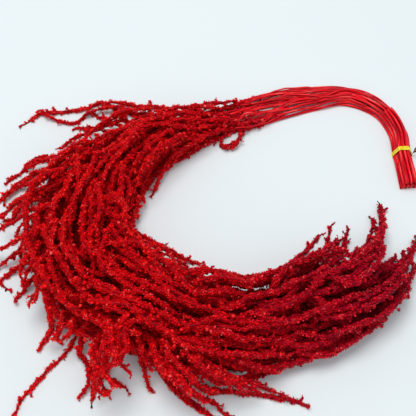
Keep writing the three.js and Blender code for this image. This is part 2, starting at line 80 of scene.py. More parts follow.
target = (-MIDDLE[0] / 1000, -MIDDLE[1] / 1000, 0.0)
camera_data = bpy.data.cameras.new("camera")
camera_data.lens = LENS
camera_data.sensor_width = SENSOR
camera_data.clip_start = 0.01
camera = bpy.data.objects.new("camera", camera_data)
camera.location = (
    target[0],
    target[1] - VIEW_DISTANCE * math.cos(VIEW_HEIGHT),
    VIEW_DISTANCE * math.sin(VIEW_HEIGHT),
)
camera.rotation_euler = (math.pi / 2 - VIEW_HEIGHT, 0, 0)
bpy.context.scene.collection.objects.link(camera)
bpy.context.scene.camera = camera
bpy.context.scene.view_settings.view_transform = "Standard"
print("camera at", tuple(round(v, 3) for v in camera.location))


# %% Lights and sky
def area_light(name, place, aim, size, power, colour=(1, 1, 1)):
    data = bpy.data.lights.new(name, "AREA")
    data.shape = "DISK"
    data.size = size
    data.energy = power
    data.color = colour
    light = bpy.data.objects.new(name, data)
    light.location = place
    away = np.array(place) - np.array(aim)
    flat = math.hypot(away[0], away[1])
    light.rotation_euler = (math.atan2(flat, away[2]), 0, math.atan2(away[1], away[0]) + math.pi / 2)
    bpy.context.scene.collection.objects.link(light)
    return light


area_light("window", (-0.40, 0.45, 2.8), (0, 0, 0), 1.8, 50.5)
area_light("fill", (0.9, -1.0, 1.4), (0, 0, 0), 1.4, 3.0, (0.93, 0.97, 1.0))
world = bpy.data.worlds.new("pale sky")
world.use_nodes = True
world.node_tree.nodes["Background"].inputs["Color"].default_value = (0.90, 0.95, 1.0, 1)
world.node_tree.nodes["Background"].inputs["Strength"].default_value = 0.56
bpy.context.scene.world = world

# %% The table
table_mesh = bpy.data.meshes.new("table")
table_mesh.from_pydata([(-3, -3, 0), (3, -3, 0), (3, 3, 0), (-3, 3, 0)], [], [(0, 1, 2, 3)])
table = bpy.data.objects.new("table", table_mesh)
bpy.context.scene.collection.objects.link(table)
paper = bpy.data.materials.new("white table")
paper.use_nodes = True
paper.node_tree.nodes["Principled BSDF"].inputs["Base Color"].default_value = (0.752, 0.805, 0.81, 1)
paper.node_tree.nodes["Principled BSDF"].inputs["Roughness"].default_value = 0.8
table_mesh.materials.append(paper)
table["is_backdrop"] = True

# %% [markdown]
# ## Where the strands lie
# A strand is a stem or a tassel: a line of points with a thickness. All of them follow one line on
# the table, each in a lane of its own, and they are let down one after another, so that each rests
# on the table or on those below it. The solids in the model were made by the same rule from the same
# sizes, so the dressed strands lie where the solid ones do. All sizes here are in millimetres.

# %% The line of the bunch and the twelve heads
BUNCH_LINE = [
    (225, 25, 12), (221, 67, 11), (219, 101, 12), (202, 133, 13), (161, 153, 14), (108, 146, 20),
    (61, 132, 22), (14, 113, 19), (-25, 96, 26), (-79, 72, 39), (-112, 35, 45), (-131, -8, 50),
    (-134, -43, 50), (-123, -72, 49), (-98, -102, 51), (-58, -121, 49), (-10, -141, 46),
    (46, -145, 39), (100, -127, 41), (151, -106, 38), (187, -82, 27), (210, -61, 20),
    (223, -39, 15),
]
LINE_STEP = 4
ROUTE_STEP = 7
STEM_RADIUS = 1.65
GAP = 0.45
SLOPE_ALLOWANCE = 1.07
STEM_SAG = 0.0016
TASSEL_SAG = 0.013
ROOT_LENGTH = 12
ATTEMPTS = 24
TIE_AT = 44
TIE_LIFT = 1.2
BEND_AT = 4
BENT_BACK_TO = 104
MAIN_RING_PITCH = 14

# stem lane, head lane, where the tassels begin and end, side tassels, seed, bent double
HEADS = [
    (-0.8, -0.92, 262, 905, 4, 11, False), (0.8, 0.92, 250, 880, 3, 23, False),
    (0.0, -0.08, 300, 960, 3, 37, False), (-0.4, -0.41, 244, 940, 3, 41, False),
    (0.4, 0.41, 276, 955, 3, 59, False), (-0.6, -0.74, 286, 930, 3, 61, False),
    (0.6, 0.74, 240, 905, 3, 73, False), (-0.2, -0.25, 310, 925, 3, 89, False),
    (0.2, 0.25, 262, 950, 3, 97, False), (-0.4, -0.57, 254, 915, 3, 101, True),
    (0.4, 0.57, 292, 900, 3, 113, True), (0.0, 0.08, 270, 935, 3, 127, True),
]

# head, radius, and the points that a loose tassel passes. They were picked on the photograph by
# eye, and a separate program worked out these places on the table from them.
LOOSE = [
    (1, 3.2, [(-92, 138), (-122, 143), (-145, 134), (-174, 129), (-195, 127), (-208, 118), (-219, 109)]),
    (6, 2.6, [(-115, 128), (-136, 128), (-148, 120), (-159, 112), (-173, 116), (-184, 120), (-194, 128)]),
    (1, 3.8, [(-165, 69), (-191, 62), (-207, 48), (-220, 38), (-227, 30)]),
    (6, 4.0, [(-165, 48), (-190, 42), (-210, 30), (-224, 17), (-230, 7)]),
    (1, 3.8, [(-165, 36), (-187, 17), (-210, 9), (-219, -3), (-229, -13)]),
    (4, 4.0, [(-173, 16), (-195, 5), (-208, -5), (-215, -19), (-228, -28)]),
    (6, 3.8, [(-179, -20), (-195, -24), (-204, -31), (-206, -39)]),
    (1, 4.2, [(-174, -42), (-190, -36), (-196, -49), (-197, -61), (-195, -74)]),
    (10, 3.4, [(-165, -39), (-183, -50), (-200, -60), (-215, -61), (-223, -60)]),
    (6, 3.6, [(-170, -52), (-191, -56), (-205, -65), (-219, -73), (-227, -76)]),
    (1, 3.0, [(-177, -68), (-199, -76), (-217, -88), (-210, -97), (-204, -100)]),
    (4, 4.4, [(-161, -75), (-177, -89), (-188, -97), (-198, -110)]),
    (10, 3.8, [(-159, -93), (-165, -109), (-172, -119), (-177, -127)]),
    (1, 2.4, [(-134, -152), (-136, -158), (-145, -172), (-155, -183), (-166, -196), (-175, -208),
     (-182, -217), (-185, -229), (-188, -238)]),
    (6, 4.2, [(-152, -98), (-158, -116), (-158, -136), (-163, -152), (-167, -163)]),
    (1, 3.4, [(-146, -111), (-147, -135), (-153, -148), (-149, -156)]),
    (6, 3.6, [(-134, -151), (-126, -168), (-121, -179), (-117, -192), (-118, -205), (-124, -212)]),
    (1, 4.4, [(-111, -149), (-111, -165), (-112, -186), (-112, -203), (-112, -217)]),
    (10, 4.0, [(-91, -167), (-92, -181), (-98, -190), (-102, -202), (-107, -214)]),
    (4, 3.8, [(-105, -171), (-101, -186), (-91, -196), (-79, -203)]),
    (10, 4.4, [(-92, -165), (-84, -185), (-79, -197), (-72, -202)]),
    (1, 3.4, [(-112, -168), (-109, -186), (-103, -201), (-96, -209)]),
    (4, 4.0, [(-69, -149), (-65, -175), (-62, -191), (-59, -200), (-55, -207)]),
    (1, 4.0, [(-58, -160), (-47, -187), (-37, -199), (-25, -211), (-13, -221), (0, -229), (13, -236)]),
    (6, 3.8, [(-36, -192), (-21, -211), (-8, -220), (5, -220), (12, -225), (22, -232)]),
    (1, 3.4, [(-43, -167), (-22, -193), (-3, -204), (21, -206), (43, -209), (65, -213), (84, -217),
     (96, -222)]),
    (6, 3.4, [(-17, -186), (7, -196), (30, -202), (48, -201), (60, -206), (69, -210), (75, -215)]),
    (10, 4.6, [(-55, -174), (-40, -192), (-28, -207), (-17, -217), (-3, -225)]),
    (4, 4.2, [(-35, -173), (-21, -192), (-11, -202), (4, -212)]),
    (10, 3.8, [(-26, -194), (-3, -204), (16, -207), (33, -209), (46, -211)]),
    (6, 3.4, [(7, -179), (30, -189), (46, -191), (57, -193), (67, -195)]),
    (2, 3.8, [(65, -83), (86, -71), (103, -55), (121, -34)]),
    (7, 3.6, [(95, -84), (111, -70), (125, -53), (130, -38), (133, -23)]),
    (2, 4.0, [(107, -74), (124, -67), (134, -55), (142, -40)]),
    (7, 3.4, [(116, -80), (132, -71), (144, -54), (148, -38), (152, -26)]),
    (7, 3.8, [(112, -100), (130, -87), (146, -73), (160, -54)]),
    (11, 4.6, [(128, -104), (146, -90), (166, -69), (179, -47), (188, -26), (188, -11), (192, 3)]),
    (2, 3.0, [(138, -88), (156, -67), (169, -50), (175, -35), (181, -18)]),
    (9, 3.6, [(135, -141), (164, -120), (189, -98), (204, -82), (212, -66)]),
    (12, 3.8, [(117, -171), (149, -154), (177, -129), (197, -105), (210, -86), (222, -68)]),
    (7, 3.2, [(-36, 77), (-53, 55), (-64, 39), (-73, 21), (-71, 6)]),
    (2, 3.4, [(-25, 86), (-40, 58), (-51, 40), (-58, 23), (-64, 14)]),
    (7, 2.4, [(49, 109), (39, 94), (29, 85), (16, 81)]),
    (10, 4.2, [(-164, -78), (-175, -85), (-182, -94), (-187, -104)]),
]


# %% Small helpers: an even random draw, smooth steps and smooth lines
class Draw:
    """Even random numbers from 0 to 1, the same on each run."""

    def __init__(self, seed):
        self.state = seed * 7919

    def next(self):
        self.state = (self.state * 48271) % 2147483647
        return self.state / 2147483647

    def between(self, low, high):
        return low + (high - low) * self.next()


def smooth_step(x):
    t = np.clip(x, 0.0, 1.0)
    return t * t * (3 - 2 * t)


def smooth_line(points, parts):
    """A curve through the points, with a number of parts between each two of them."""
    p = np.asarray(points, float)
    p = np.vstack([2 * p[0] - p[1], p, 2 * p[-1] - p[-2]])
    t = (np.arange(parts) / parts)[:, None]
    spans = []
    for i in range(1, len(p) - 2):
        a, b = p[i], p[i + 1]
        ta, tb = (p[i + 1] - p[i - 1]) / 2, (p[i + 2] - p[i]) / 2
        spans.append(a + ta * t + (3 * (b - a) - 2 * ta - tb) * t**2 + (2 * (a - b) + ta + tb) * t**3)
    return np.vstack(spans + [p[-2][None]])


def evenly(points, step):
    """The same line, with a point at every step of its length in plan and one at its end."""
    even = [points[0]]
    left = step
    for a, b in zip(points[:-1], points[1:]):
        length = math.hypot(b[0] - a[0], b[1] - a[1])
        at = left
        while at < length:
            even.append(a + (b - a) * at / length)
            at += step
        left = at - length
    if np.linalg.norm(even[-1] - points[-1]) > step / 2:
        even.append(points[-1])
    else:
        even[-1] = points[-1]
    return np.array(even)


bunch_line = evenly(smooth_line(BUNCH_LINE, 12), LINE_STEP)
print("the bunch's line is", len(bunch_line) * LINE_STEP, "mm long")


def on_line(along, share):
    """The place a distance along the bunch's line, moved sideways by a share of its half width."""
    at = min(max(along / LINE_STEP, 0), len(bunch_line) - 1.001)
    i = int(at)
    here = bunch_line[i] + (bunch_line[i + 1] - bunch_line[i]) * (at - i)
    before, after = bunch_line[max(i - 1, 0)], bunch_line[min(i + 2, len(bunch_line) - 1)]
    run = math.hypot(after[0] - before[0], after[1] - before[1])
    across = share * here[2]
    return np.array([
        here[0] - (after[1] - before[1]) / run * across,
        here[1] + (after[0] - before[0]) / run * across,
    ])


# %% Letting a strand down on those that lie there already
class Pile:
    """All stretches of the strands that lie on the table."""

    def __init__(self):
        self.a, self.b = np.zeros((0, 3)), np.zeros((0, 3))
        self.ra, self.rb, self.head = np.zeros(0), np.zeros(0), np.zeros(0, int)
        self.box = np.zeros((0, 4))

    def add(self, head, points, radii):
        margin = radii.max()
        low, high = points[:, :2].min(axis=0) - margin, points[:, :2].max(axis=0) + margin
        count = len(points) - 1
        self.a = np.vstack([self.a, points[:-1]])
        self.b = np.vstack([self.b, points[1:]])
        self.ra = np.append(self.ra, radii[:-1])
        self.rb = np.append(self.rb, radii[1:])
        self.head = np.append(self.head, np.full(count, head))
        self.box = np.vstack([self.box, np.tile([*low, *high], (count, 1))])

    def near(self, points, radii):
        """Which stretches a strand's points come close to, as matrices of points by stretches."""
        low = points[:, :2].min(axis=0) - radii.max()
        high = points[:, :2].max(axis=0) + radii.max()
        lie = np.minimum(self.a, self.b)[:, :2] - 12 < high
        lie &= np.maximum(self.a, self.b)[:, :2] + 12 > low
        pick = np.nonzero(lie.all(axis=1))[0]
        a, b, box = self.a[pick], self.b[pick], self.box[pick]
        p = points[:, None, :]
        run = (b - a)[None, :, :2]
        share = ((p[..., :2] - a[None, :, :2]) * run).sum(axis=2)
        share = np.clip(share / ((run**2).sum(axis=2) + 1e-12), 0, 1)
        distance = np.linalg.norm(p[..., :2] - a[None, :, :2] - run * share[..., None], axis=2)
        z = a[:, 2] + (b - a)[:, 2] * share
        radius = self.ra[pick] + (self.rb - self.ra)[pick] * share
        r = radii[:, None]
        inside = (p[..., 0] >= box[:, 0] - r) & (p[..., 1] >= box[:, 1] - r)
        inside &= (p[..., 0] <= box[:, 2] + r) & (p[..., 1] <= box[:, 3] + r)
        return pick, distance, z, radius, inside


pile = Pile()
tie_place = on_line(TIE_AT, 0)


def lay(head, route, radii, sag, floor_share, root=None, lift=0.0):
    """The strand's points, each resting on the table or on other strands, bridging hollows."""
    on_tie = np.hypot(*(route - tie_place).T) < 14
    need = np.where(on_tie, radii + TIE_LIFT, radii * floor_share) + lift
    if len(pile.a):
        pick, distance, z, radius, inside = pile.near(route, radii)
        reach = (radii[:, None] + radius) * SLOPE_ALLOWANCE + GAP
        touch = inside & (distance < reach)
        if root is not None:
            near_root = np.hypot(*(route - root[:2]).T) < ROOT_LENGTH
            touch &= ~(near_root[:, None] & (pile.head[pick] == head)[None, :])
        top = np.where(touch, z + np.sqrt(np.maximum(reach**2 - distance**2, 0)), -1)
        if top.size:
            need = np.maximum(need, top.max(axis=1))
    if root is not None:
        need[0] = root[2]
    apart = np.abs(np.subtract.outer(np.arange(len(route)), np.arange(len(route)))) * ROUTE_STEP
    height = (need[None, :] - np.broadcast_to(sag, len(route))[:, None] * apart**2).max(axis=1)
    if root is not None:
        height[0] = need[0]
    return np.column_stack([route, height])


def meets_another_head(head, points, radii):
    """True where a strand passes through one of another head."""
    share = np.array([0.33, 0.67, 1.0])[None, :, None]
    p = (points[:-1, None] * (1 - share) + points[1:, None] * share).reshape(-1, 3)
    own = (radii[:-1, None] * (1 - share[..., 0]) + radii[1:, None] * share[..., 0]).ravel()
    pick, _, _, radius, inside = pile.near(p, own)
    a, b = pile.a[pick], pile.b[pick]
    run = b - a
    t = np.clip(((p[:, None] - a) * run).sum(axis=2) / ((run**2).sum(axis=1) + 1e-12), 0, 1)
    gap = np.linalg.norm(p[:, None] - a - run * t[..., None], axis=2)
    close = gap < own[:, None] + radius + 0.15
    return bool((close & inside & (pile.head[pick] != head)).any())


# %% The lines of a head: stem, main tassel, side tassels and loose ones
def tassel_radii(count, radius, swell_length):
    i = np.arange(count)
    swell = 0.48 + 0.52 * smooth_step(i / (swell_length / ROUTE_STEP))
    fade = 0.42 + 0.58 * smooth_step((count - 1 - i) / (34 / ROUTE_STEP))
    return radius * np.minimum(swell, fade)


def nearest(points, place):
    return points[np.argmin(np.hypot(points[:, 0] - place[0], points[:, 1] - place[1]))]


def spaced(points, pitch):
    """Points at an even step along a strand's true length."""
    line = [points[0]]
    left = pitch
    for a, b in zip(points[:-1], points[1:]):
        length = np.linalg.norm(b - a)
        at = left
        while at < length:
            line.append(a + (b - a) * at / length)
            at += pitch
        left = at - length
    if np.linalg.norm(line[-1] - points[-1]) > pitch / 2:
        line.append(points[-1])
    return np.array(line)


def main_strand(head, number):
    stem, lane, begins, ends, _, seed, bent = head
    draw = Draw(seed)
    wave, turn = draw.between(0.015, 0.045), draw.between(0, math.pi * 2)
    plan = []
    for along in np.arange(BEND_AT if bent else 0, ends, ROUTE_STEP):
        sway = wave * smooth_step((along - TIE_AT) / 70) * math.sin(along / 38 + turn)
        at_lane = stem + (lane - stem) * smooth_step((along - 120) / 170)
        plan.append(on_line(along, at_lane + sway))
    route = evenly(np.array(plan), ROUTE_STEP)
    place = on_line(begins, lane)
    start = int(np.argmin(np.hypot(route[:, 0] - place[0], route[:, 1] - place[1])))
    full = draw.between(4.1, 4.7)
    radii = np.full(len(route), STEM_RADIUS)
    radii[start:] = tassel_radii(len(route) - start, full, 170)
    sag = np.where(np.arange(len(route)) < start, STEM_SAG, TASSEL_SAG)
    points = lay(number, route, radii, sag, 0.8)
    pile.add(number, points, radii)
    return points, radii, start


def side_route(head, rings, draw, begin, length, swing, drift, edges):
    """A side tassel's way in plan, and the place on the main tassel where it grows out."""
    lane = head[1]
    bend = smooth_step((begin - 300) / 90) * (1 - smooth_step((begin - 600) / 120))
    swing = draw.between(0.1, swing) * (1 if draw.next() < 0.5 else -1)
    drift = bend * draw.between(0, drift)
    wave, turn = draw.between(0.02, 0.07), draw.between(0, math.pi * 2)
    plan = []
    for along in np.arange(0, length, ROUTE_STEP):
        loosened = swing * smooth_step(along / 40) - drift * (along / 165) ** 2
        out = min(max(loosened, edges[0] - lane), edges[1] - lane)
        sway = wave * smooth_step(along / 60) * math.sin((begin + along) / 26 + turn)
        plan.append(on_line(begin + along, lane + out + sway))
    root = nearest(rings, plan[0])
    plan[0] = root[:2]
    return evenly(np.array(plan), ROUTE_STEP), root


FIRST_SIDE = 75  # how far behind the main tassel's begin the first side tassel may grow out
LAST_SIDE = 130  # and how far before its end the last one


def side_strand(head, number, rings, draw, place):
    """Of several ways to go, a side tassel takes the one that lies lowest."""
    _, _, begins, ends, sides, _, _ = head
    reach = ends - begins - FIRST_SIDE - LAST_SIDE
    begin = begins + FIRST_SIDE + reach * ((place + draw.between(0.1, 0.9)) / sides)
    length = draw.between(130, 200)
    radius = draw.between(3.6, 4.4)
    lowest = None
    for _ in range(ATTEMPTS):
        route, root = side_route(head, rings, draw, begin, length, 0.42, 0.75, (-1.12, 1.05))
        radii = tassel_radii(len(route), radius, 16)
        points = lay(number, route, radii, TASSEL_SAG, 0.5, root)
        height = points[:, 2].mean()
        if lowest is not None and height >= lowest[2]:
            continue
        if not meets_another_head(number, points, radii):
            lowest = (points, radii, height)
    return lowest


def loose_strand(number, radius, via, rings):
    root = nearest(rings, via[0])
    plan = [(root[0], root[1], 0)] + [(x, y, 0) for x, y in via[1:]]
    route = evenly(smooth_line(plan, 12), ROUTE_STEP)[:, :2]
    radii = tassel_radii(len(route), radius, 16)
    return lay(number, route, radii, TASSEL_SAG, 0.6, root), radii


def bent_back(head, number, main):
    """The end of a bent stem: a run on top of the others, joined to the stem by a half circle."""
    plan = [on_line(along, head[0] * 0.92) for along in np.arange(BEND_AT, BENT_BACK_TO, ROUTE_STEP)]
    route = evenly(np.array(plan), ROUTE_STEP)
    radii = np.full(len(route), STEM_RADIUS)
    lift = 1.2 * (1 - smooth_step(np.arange(len(route)) / 4))
    back = lay(number, route, radii, STEM_SAG, 1.0, lift=lift)
    pile.add(number, back, radii)
    low, high = main[0], back[0]
    outward = np.append(on_line(0, 0) - on_line(12, 0), 0)
    outward /= np.linalg.norm(outward)
    middle, radius = (low + high) / 2, np.linalg.norm(low - high) / 2
    angles = np.radians([20, 45, 70, 90, 110, 135, 160])[:, None]
    turn = middle + (high - middle) * np.cos(angles) + outward * radius * np.sin(angles)
    return np.vstack([back[::-1], turn])


# %% Lay all twelve heads
stems, tassels = [], []  # (head, points, radii)
ring_places = {}
for number, head in enumerate(HEADS):
    main, radii, start = main_strand(head, number)
    stem = main[: start + 3]
    if head[6]:
        stem = np.vstack([bent_back(head, number, main), stem])
    stems.append((number, stem, np.full(len(stem), STEM_RADIUS)))
    tassels.append((number, main[start:], radii[start:]))
    rings = spaced(main[start:], MAIN_RING_PITCH)
    ring_places[number] = rings
    draw = Draw(head[5] + 500)
    for place in range(head[4]):
        side = side_strand(head, number, rings, draw, place)
        if side is not None:
            pile.add(number, side[0], side[1])
            tassels.append((number, side[0], side[1]))
    for owner, radius, via in LOOSE:
        if owner == number + 1:
            points, radii = loose_strand(number, radius, via, rings)
            pile.add(number, points, radii)
            tassels.append((number, points, radii))
top = max(points[:, 2].max() for _, points, _ in tassels)
print(len(stems), "stems and", len(tassels), "tassels, the highest", round(top, 1), "mm up")

# %% [markdown]
# ## Thinner tassels on top
# The model's tassels are the thick ones that carry the heap. The real bunch also has many thin side
# branches that lie over them and stray at its rim. They are laid by the same rule on top of the rest
# and grow out of the same twelve heads; only the dressing has them. The ones that stand out at the
# rim follow points picked on the photograph by eye, whose places on the table a separate program
# worked out, and the others are drawn at random. They may not rise over a limit, because the heap
# would grow past the model's box. Where that limit holds they pass through their neighbours.

# %% Lay the thin tassels that stray at the rim
# radius, and the points that a thin tassel passes
THIN_LOOSE = [
    (3.5, [(-21, 138), (-51, 135), (-80, 137), (-104, 140), (-123, 139)]),
    (3.2, [(-68, 127), (-97, 129), (-121, 131), (-136, 126), (-145, 121)]),
    (3.0, [(-95, 105), (-117, 97), (-134, 100), (-149, 107), (-156, 106)]),
    (3.2, [(-114, 105), (-132, 90), (-149, 88), (-163, 86), (-169, 79)]),
    (3.4, [(-128, 70), (-149, 66), (-159, 60), (-176, 54), (-190, 51), (-202, 48)]),
    (3.6, [(-143, 47), (-168, 34), (-188, 28), (-206, 24), (-217, 19), (-225, 8)]),
    (3.6, [(-145, 23), (-168, 2), (-189, -6), (-205, -9), (-215, -14), (-223, -17)]),
    (3.6, [(-157, -14), (-176, -24), (-193, -27), (-204, -35), (-216, -35)]),
    (4.0, [(-175, -23), (-175, -54), (-186, -61), (-187, -71)]),
    (4.0, [(-165, -52), (-174, -66), (-181, -75), (-187, -82), (-190, -93), (-185, -104)]),
    (3.6, [(-159, -80), (-168, -96), (-170, -110), (-166, -119), (-169, -126)]),
    (3.6, [(-159, -94), (-159, -123), (-157, -135), (-153, -146), (-153, -154), (-159, -159)]),
    (3.4, [(-141, -122), (-143, -149), (-146, -157), (-150, -163)]),
    (3.4, [(-130, -133), (-132, -156), (-137, -162), (-143, -166)]),
    (4.5, [(-94, -166), (-89, -182), (-85, -192), (-90, -201), (-96, -207)]),
    (4.0, [(-81, -153), (-76, -182), (-79, -192), (-84, -199)]),
    (4.0, [(-66, -158), (-63, -177), (-59, -188), (-53, -193)]),
    (4.0, [(-56, -163), (-49, -187), (-41, -201), (-29, -214), (-20, -223)]),
    (3.6, [(-42, -169), (-30, -193), (-17, -206), (-4, -216), (7, -217)]),
    (3.4, [(-21, -183), (-7, -200), (9, -208), (26, -215), (35, -218)]),
    (3.4, [(-115, -166), (-108, -188), (-101, -200), (-93, -210), (-86, -218)]),
    (2.8, [(-106, -197), (-103, -213), (-98, -224), (-91, -224)]),
    (4.0, [(-92, -26), (-77, -38), (-62, -45), (-46, -48)]),
    (4.0, [(-76, -51), (-50, -62), (-29, -65), (-8, -69)]),
    (4.0, [(63, -103), (88, -95), (109, -79), (127, -58), (138, -44)]),
    (4.0, [(93, -107), (117, -104), (137, -93), (151, -76), (161, -65)]),
    (3.6, [(111, -120), (135, -114), (154, -95), (167, -77), (176, -63), (181, -57)]),
    (3.2, [(146, -111), (160, -107), (174, -92), (186, -84)]),
    (4.2, [(150, -133), (169, -122), (189, -102), (199, -82), (204, -63)]),
    (4.0, [(163, -135), (180, -127), (201, -101), (210, -85), (213, -75)]),
    (2.2, [(39, 97), (35, 86), (30, 77), (22, 77), (16, 80), (15, 89)]),
    (3.8, [(138, -96), (157, -79), (171, -61), (180, -46), (188, -32), (189, -18)]),
    (4.0, [(113, -101), (128, -114), (147, -104), (163, -89), (175, -73)]),
    (3.4, [(124, -107), (137, -120), (154, -108), (168, -93), (177, -71)]),
    (3.2, [(33, 136), (21, 131), (6, 132), (-9, 133), (-26, 136)]),
    (3.4, [(-13, -79), (4, -84), (21, -84), (38, -84), (55, -81)]),
    (3.6, [(89, -177), (109, -177), (129, -169), (144, -163), (158, -153)]),
]
HIGHEST = 58  # limit of a thin tassel's height


def closest_head(place):
    """The head whose main tassel passes nearest to a place."""
    away = [np.hypot(*(rings[:, :2] - place).T).min() for rings in ring_places.values()]
    return int(np.argmin(away))


def lay_thin(number, points, radii):
    points[:, 2] = np.minimum(points[:, 2], HIGHEST)
    pile.add(number, points, radii)
    tassels.append((number, points, radii))


for radius, via in THIN_LOOSE:
    owner = closest_head(via[0])
    lay_thin(owner, *loose_strand(owner, radius, via, ring_places[owner]))
print(len(tassels), "tassels with the thin ones at the rim")

# %% Lay the knobs of the tassel that stands out furthest
# radius, and the points that a knob passes, worked out like those of the thin tassels; it grows out
# of the tassel that it starts on
KNOBS = [
    (3.4, [(188, -27), (180, -25), (178, -21), (179, -16)]),
    (2.6, [(190, -13), (186, -7), (187, -2)]),
    (2.8, [(183, -39), (176, -41), (171, -40)]),
    (2.8, [(188, -24), (192, -23), (192, -20)]),
]
grown_on = list(tassels)


def closest_tassel(place):
    """The tassel, with its head and radii, that passes nearest to a place."""
    return min(grown_on, key=lambda tassel: np.hypot(*(tassel[1][:, :2] - place).T).min())


for radius, via in KNOBS:
    owner, points, _ = closest_tassel(via[0])
    lay_thin(owner, *loose_strand(owner, radius, via, points))
print(len(KNOBS), "knobs")


# %% Lay the thin tassels that lie on the heap
THIN_TASSELS = 6  # on each head
THIN_ATTEMPTS = 4
FIRST_THIN = 14  # as for the side tassels
LAST_THIN = 96
RIM = (-1.02, 0.95)  # the lanes between which they stay


def thin_strand(head, number, draw, place):
    """Of several ways to go, a thin tassel takes the one that lies lowest."""
    begins, ends = head[2:4]
    rings = ring_places[number]
    reach = ends - begins - FIRST_THIN - LAST_THIN
    begin = begins + FIRST_THIN + reach * (place + draw.between(0.1, 0.9)) / THIN_TASSELS
    length = draw.between(70, 150)
    radius = draw.between(2.4, 3.4)
    lowest = None
    for _ in range(THIN_ATTEMPTS):
        route, root = side_route(head, rings, draw, begin, length, 0.6, 0.9, RIM)
        radii = tassel_radii(len(route), radius, 16)
        points = lay(number, route, radii, TASSEL_SAG, 0.6, root)
        if lowest is None or points[:, 2].mean() < lowest[0][:, 2].mean():
            lowest = (points, radii)
    return lowest


for number, head in enumerate(HEADS):
    draw = Draw(head[5] + 1300)
    for place in range(THIN_TASSELS):
        lay_thin(number, *thin_strand(head, number, draw, place))
print(len(tassels), "tassels with the thin ones")

# %% Lay the fine shoots of the stems
# Below the tassels a stem has bare side shoots. They part from it and cross its neighbours. Their
# height is limited too, so that they don't pile up on the arch.
SHOOTS = 14
SHOOTS_BEGIN, SHOOTS_SPREAD = 55, 150  # the stretch of the bunch's line on which they grow out
OUTER_SHARE, INNER_SHARE = -0.8, 1.3  # how far to the arch's outer and inner side they stray
shoots = []
for k in range(SHOOTS):
    number = k * 5 % len(HEADS)
    draw = Draw(4000 + 13 * k)
    begin = SHOOTS_BEGIN + SHOOTS_SPREAD * (k + draw.next()) / SHOOTS
    length = draw.between(285, 330) - begin
    lane_from = HEADS[number][0]
    lane_to = draw.between(0.5, 0.95) * (INNER_SHARE if k % 2 else OUTER_SHARE)
    wave, turn = draw.between(0.08, 0.2), draw.between(0, 2 * math.pi)
    plan = []
    for along in np.arange(0, length, ROUTE_STEP):
        lane = lane_from + (lane_to - lane_from) * smooth_step(along / length)
        sway = wave * math.sin(along / 14 + turn) * min(along / 30, 1)
        plan.append(on_line(begin + along, lane + sway))
    root = nearest(stems[number][1], plan[0])
    plan[0] = root[:2]
    route = evenly(np.array(plan), ROUTE_STEP)
    radii = np.linspace(draw.between(1.0, 1.3), 0.8, len(route))
    points = lay(number, route, radii, TASSEL_SAG, 0.8, root)
    points[1:, 2] = np.minimum(points[1:, 2], draw.between(3, 10))
    pile.add(number, points, radii)
    shoots.append((number, points, radii))
print(len(shoots), "fine shoots")

# %% Lay a lowest layer
# Tassels that lie flat under the others close the gaps through which the table would show.
LOWEST_LANES = 22
LOWEST_RADIUS = 4.2
lowest_layer = []
for k in range(LOWEST_LANES):
    lane = -0.9 + 1.8 * k / (LOWEST_LANES - 1)
    number = min(range(len(HEADS)), key=lambda n: abs(HEADS[n][1] - lane))
    begins, ends = HEADS[number][2:4]
    draw = Draw(3000 + k)
    turn = draw.between(0, 2 * math.pi)
    plan = [
        on_line(along, lane + 0.04 * math.sin(along / 30 + turn))
        for along in np.arange(begins + 30, ends - draw.between(5, 60), ROUTE_STEP)
    ]
    radii = tassel_radii(len(plan), LOWEST_RADIUS, 110)
    lowest_layer.append((number, np.column_stack([plan, radii * 0.75]), radii))
print(len(lowest_layer), "tassels in the lowest layer")

# %% [markdown]
# ## Geometry Nodes, wired by hand
# A tree of nodes turns each bare line into a strand with hundreds of flowers. A few helpers keep the
# wiring short: they add a node, set its values or link its sockets, and hand back what comes out.


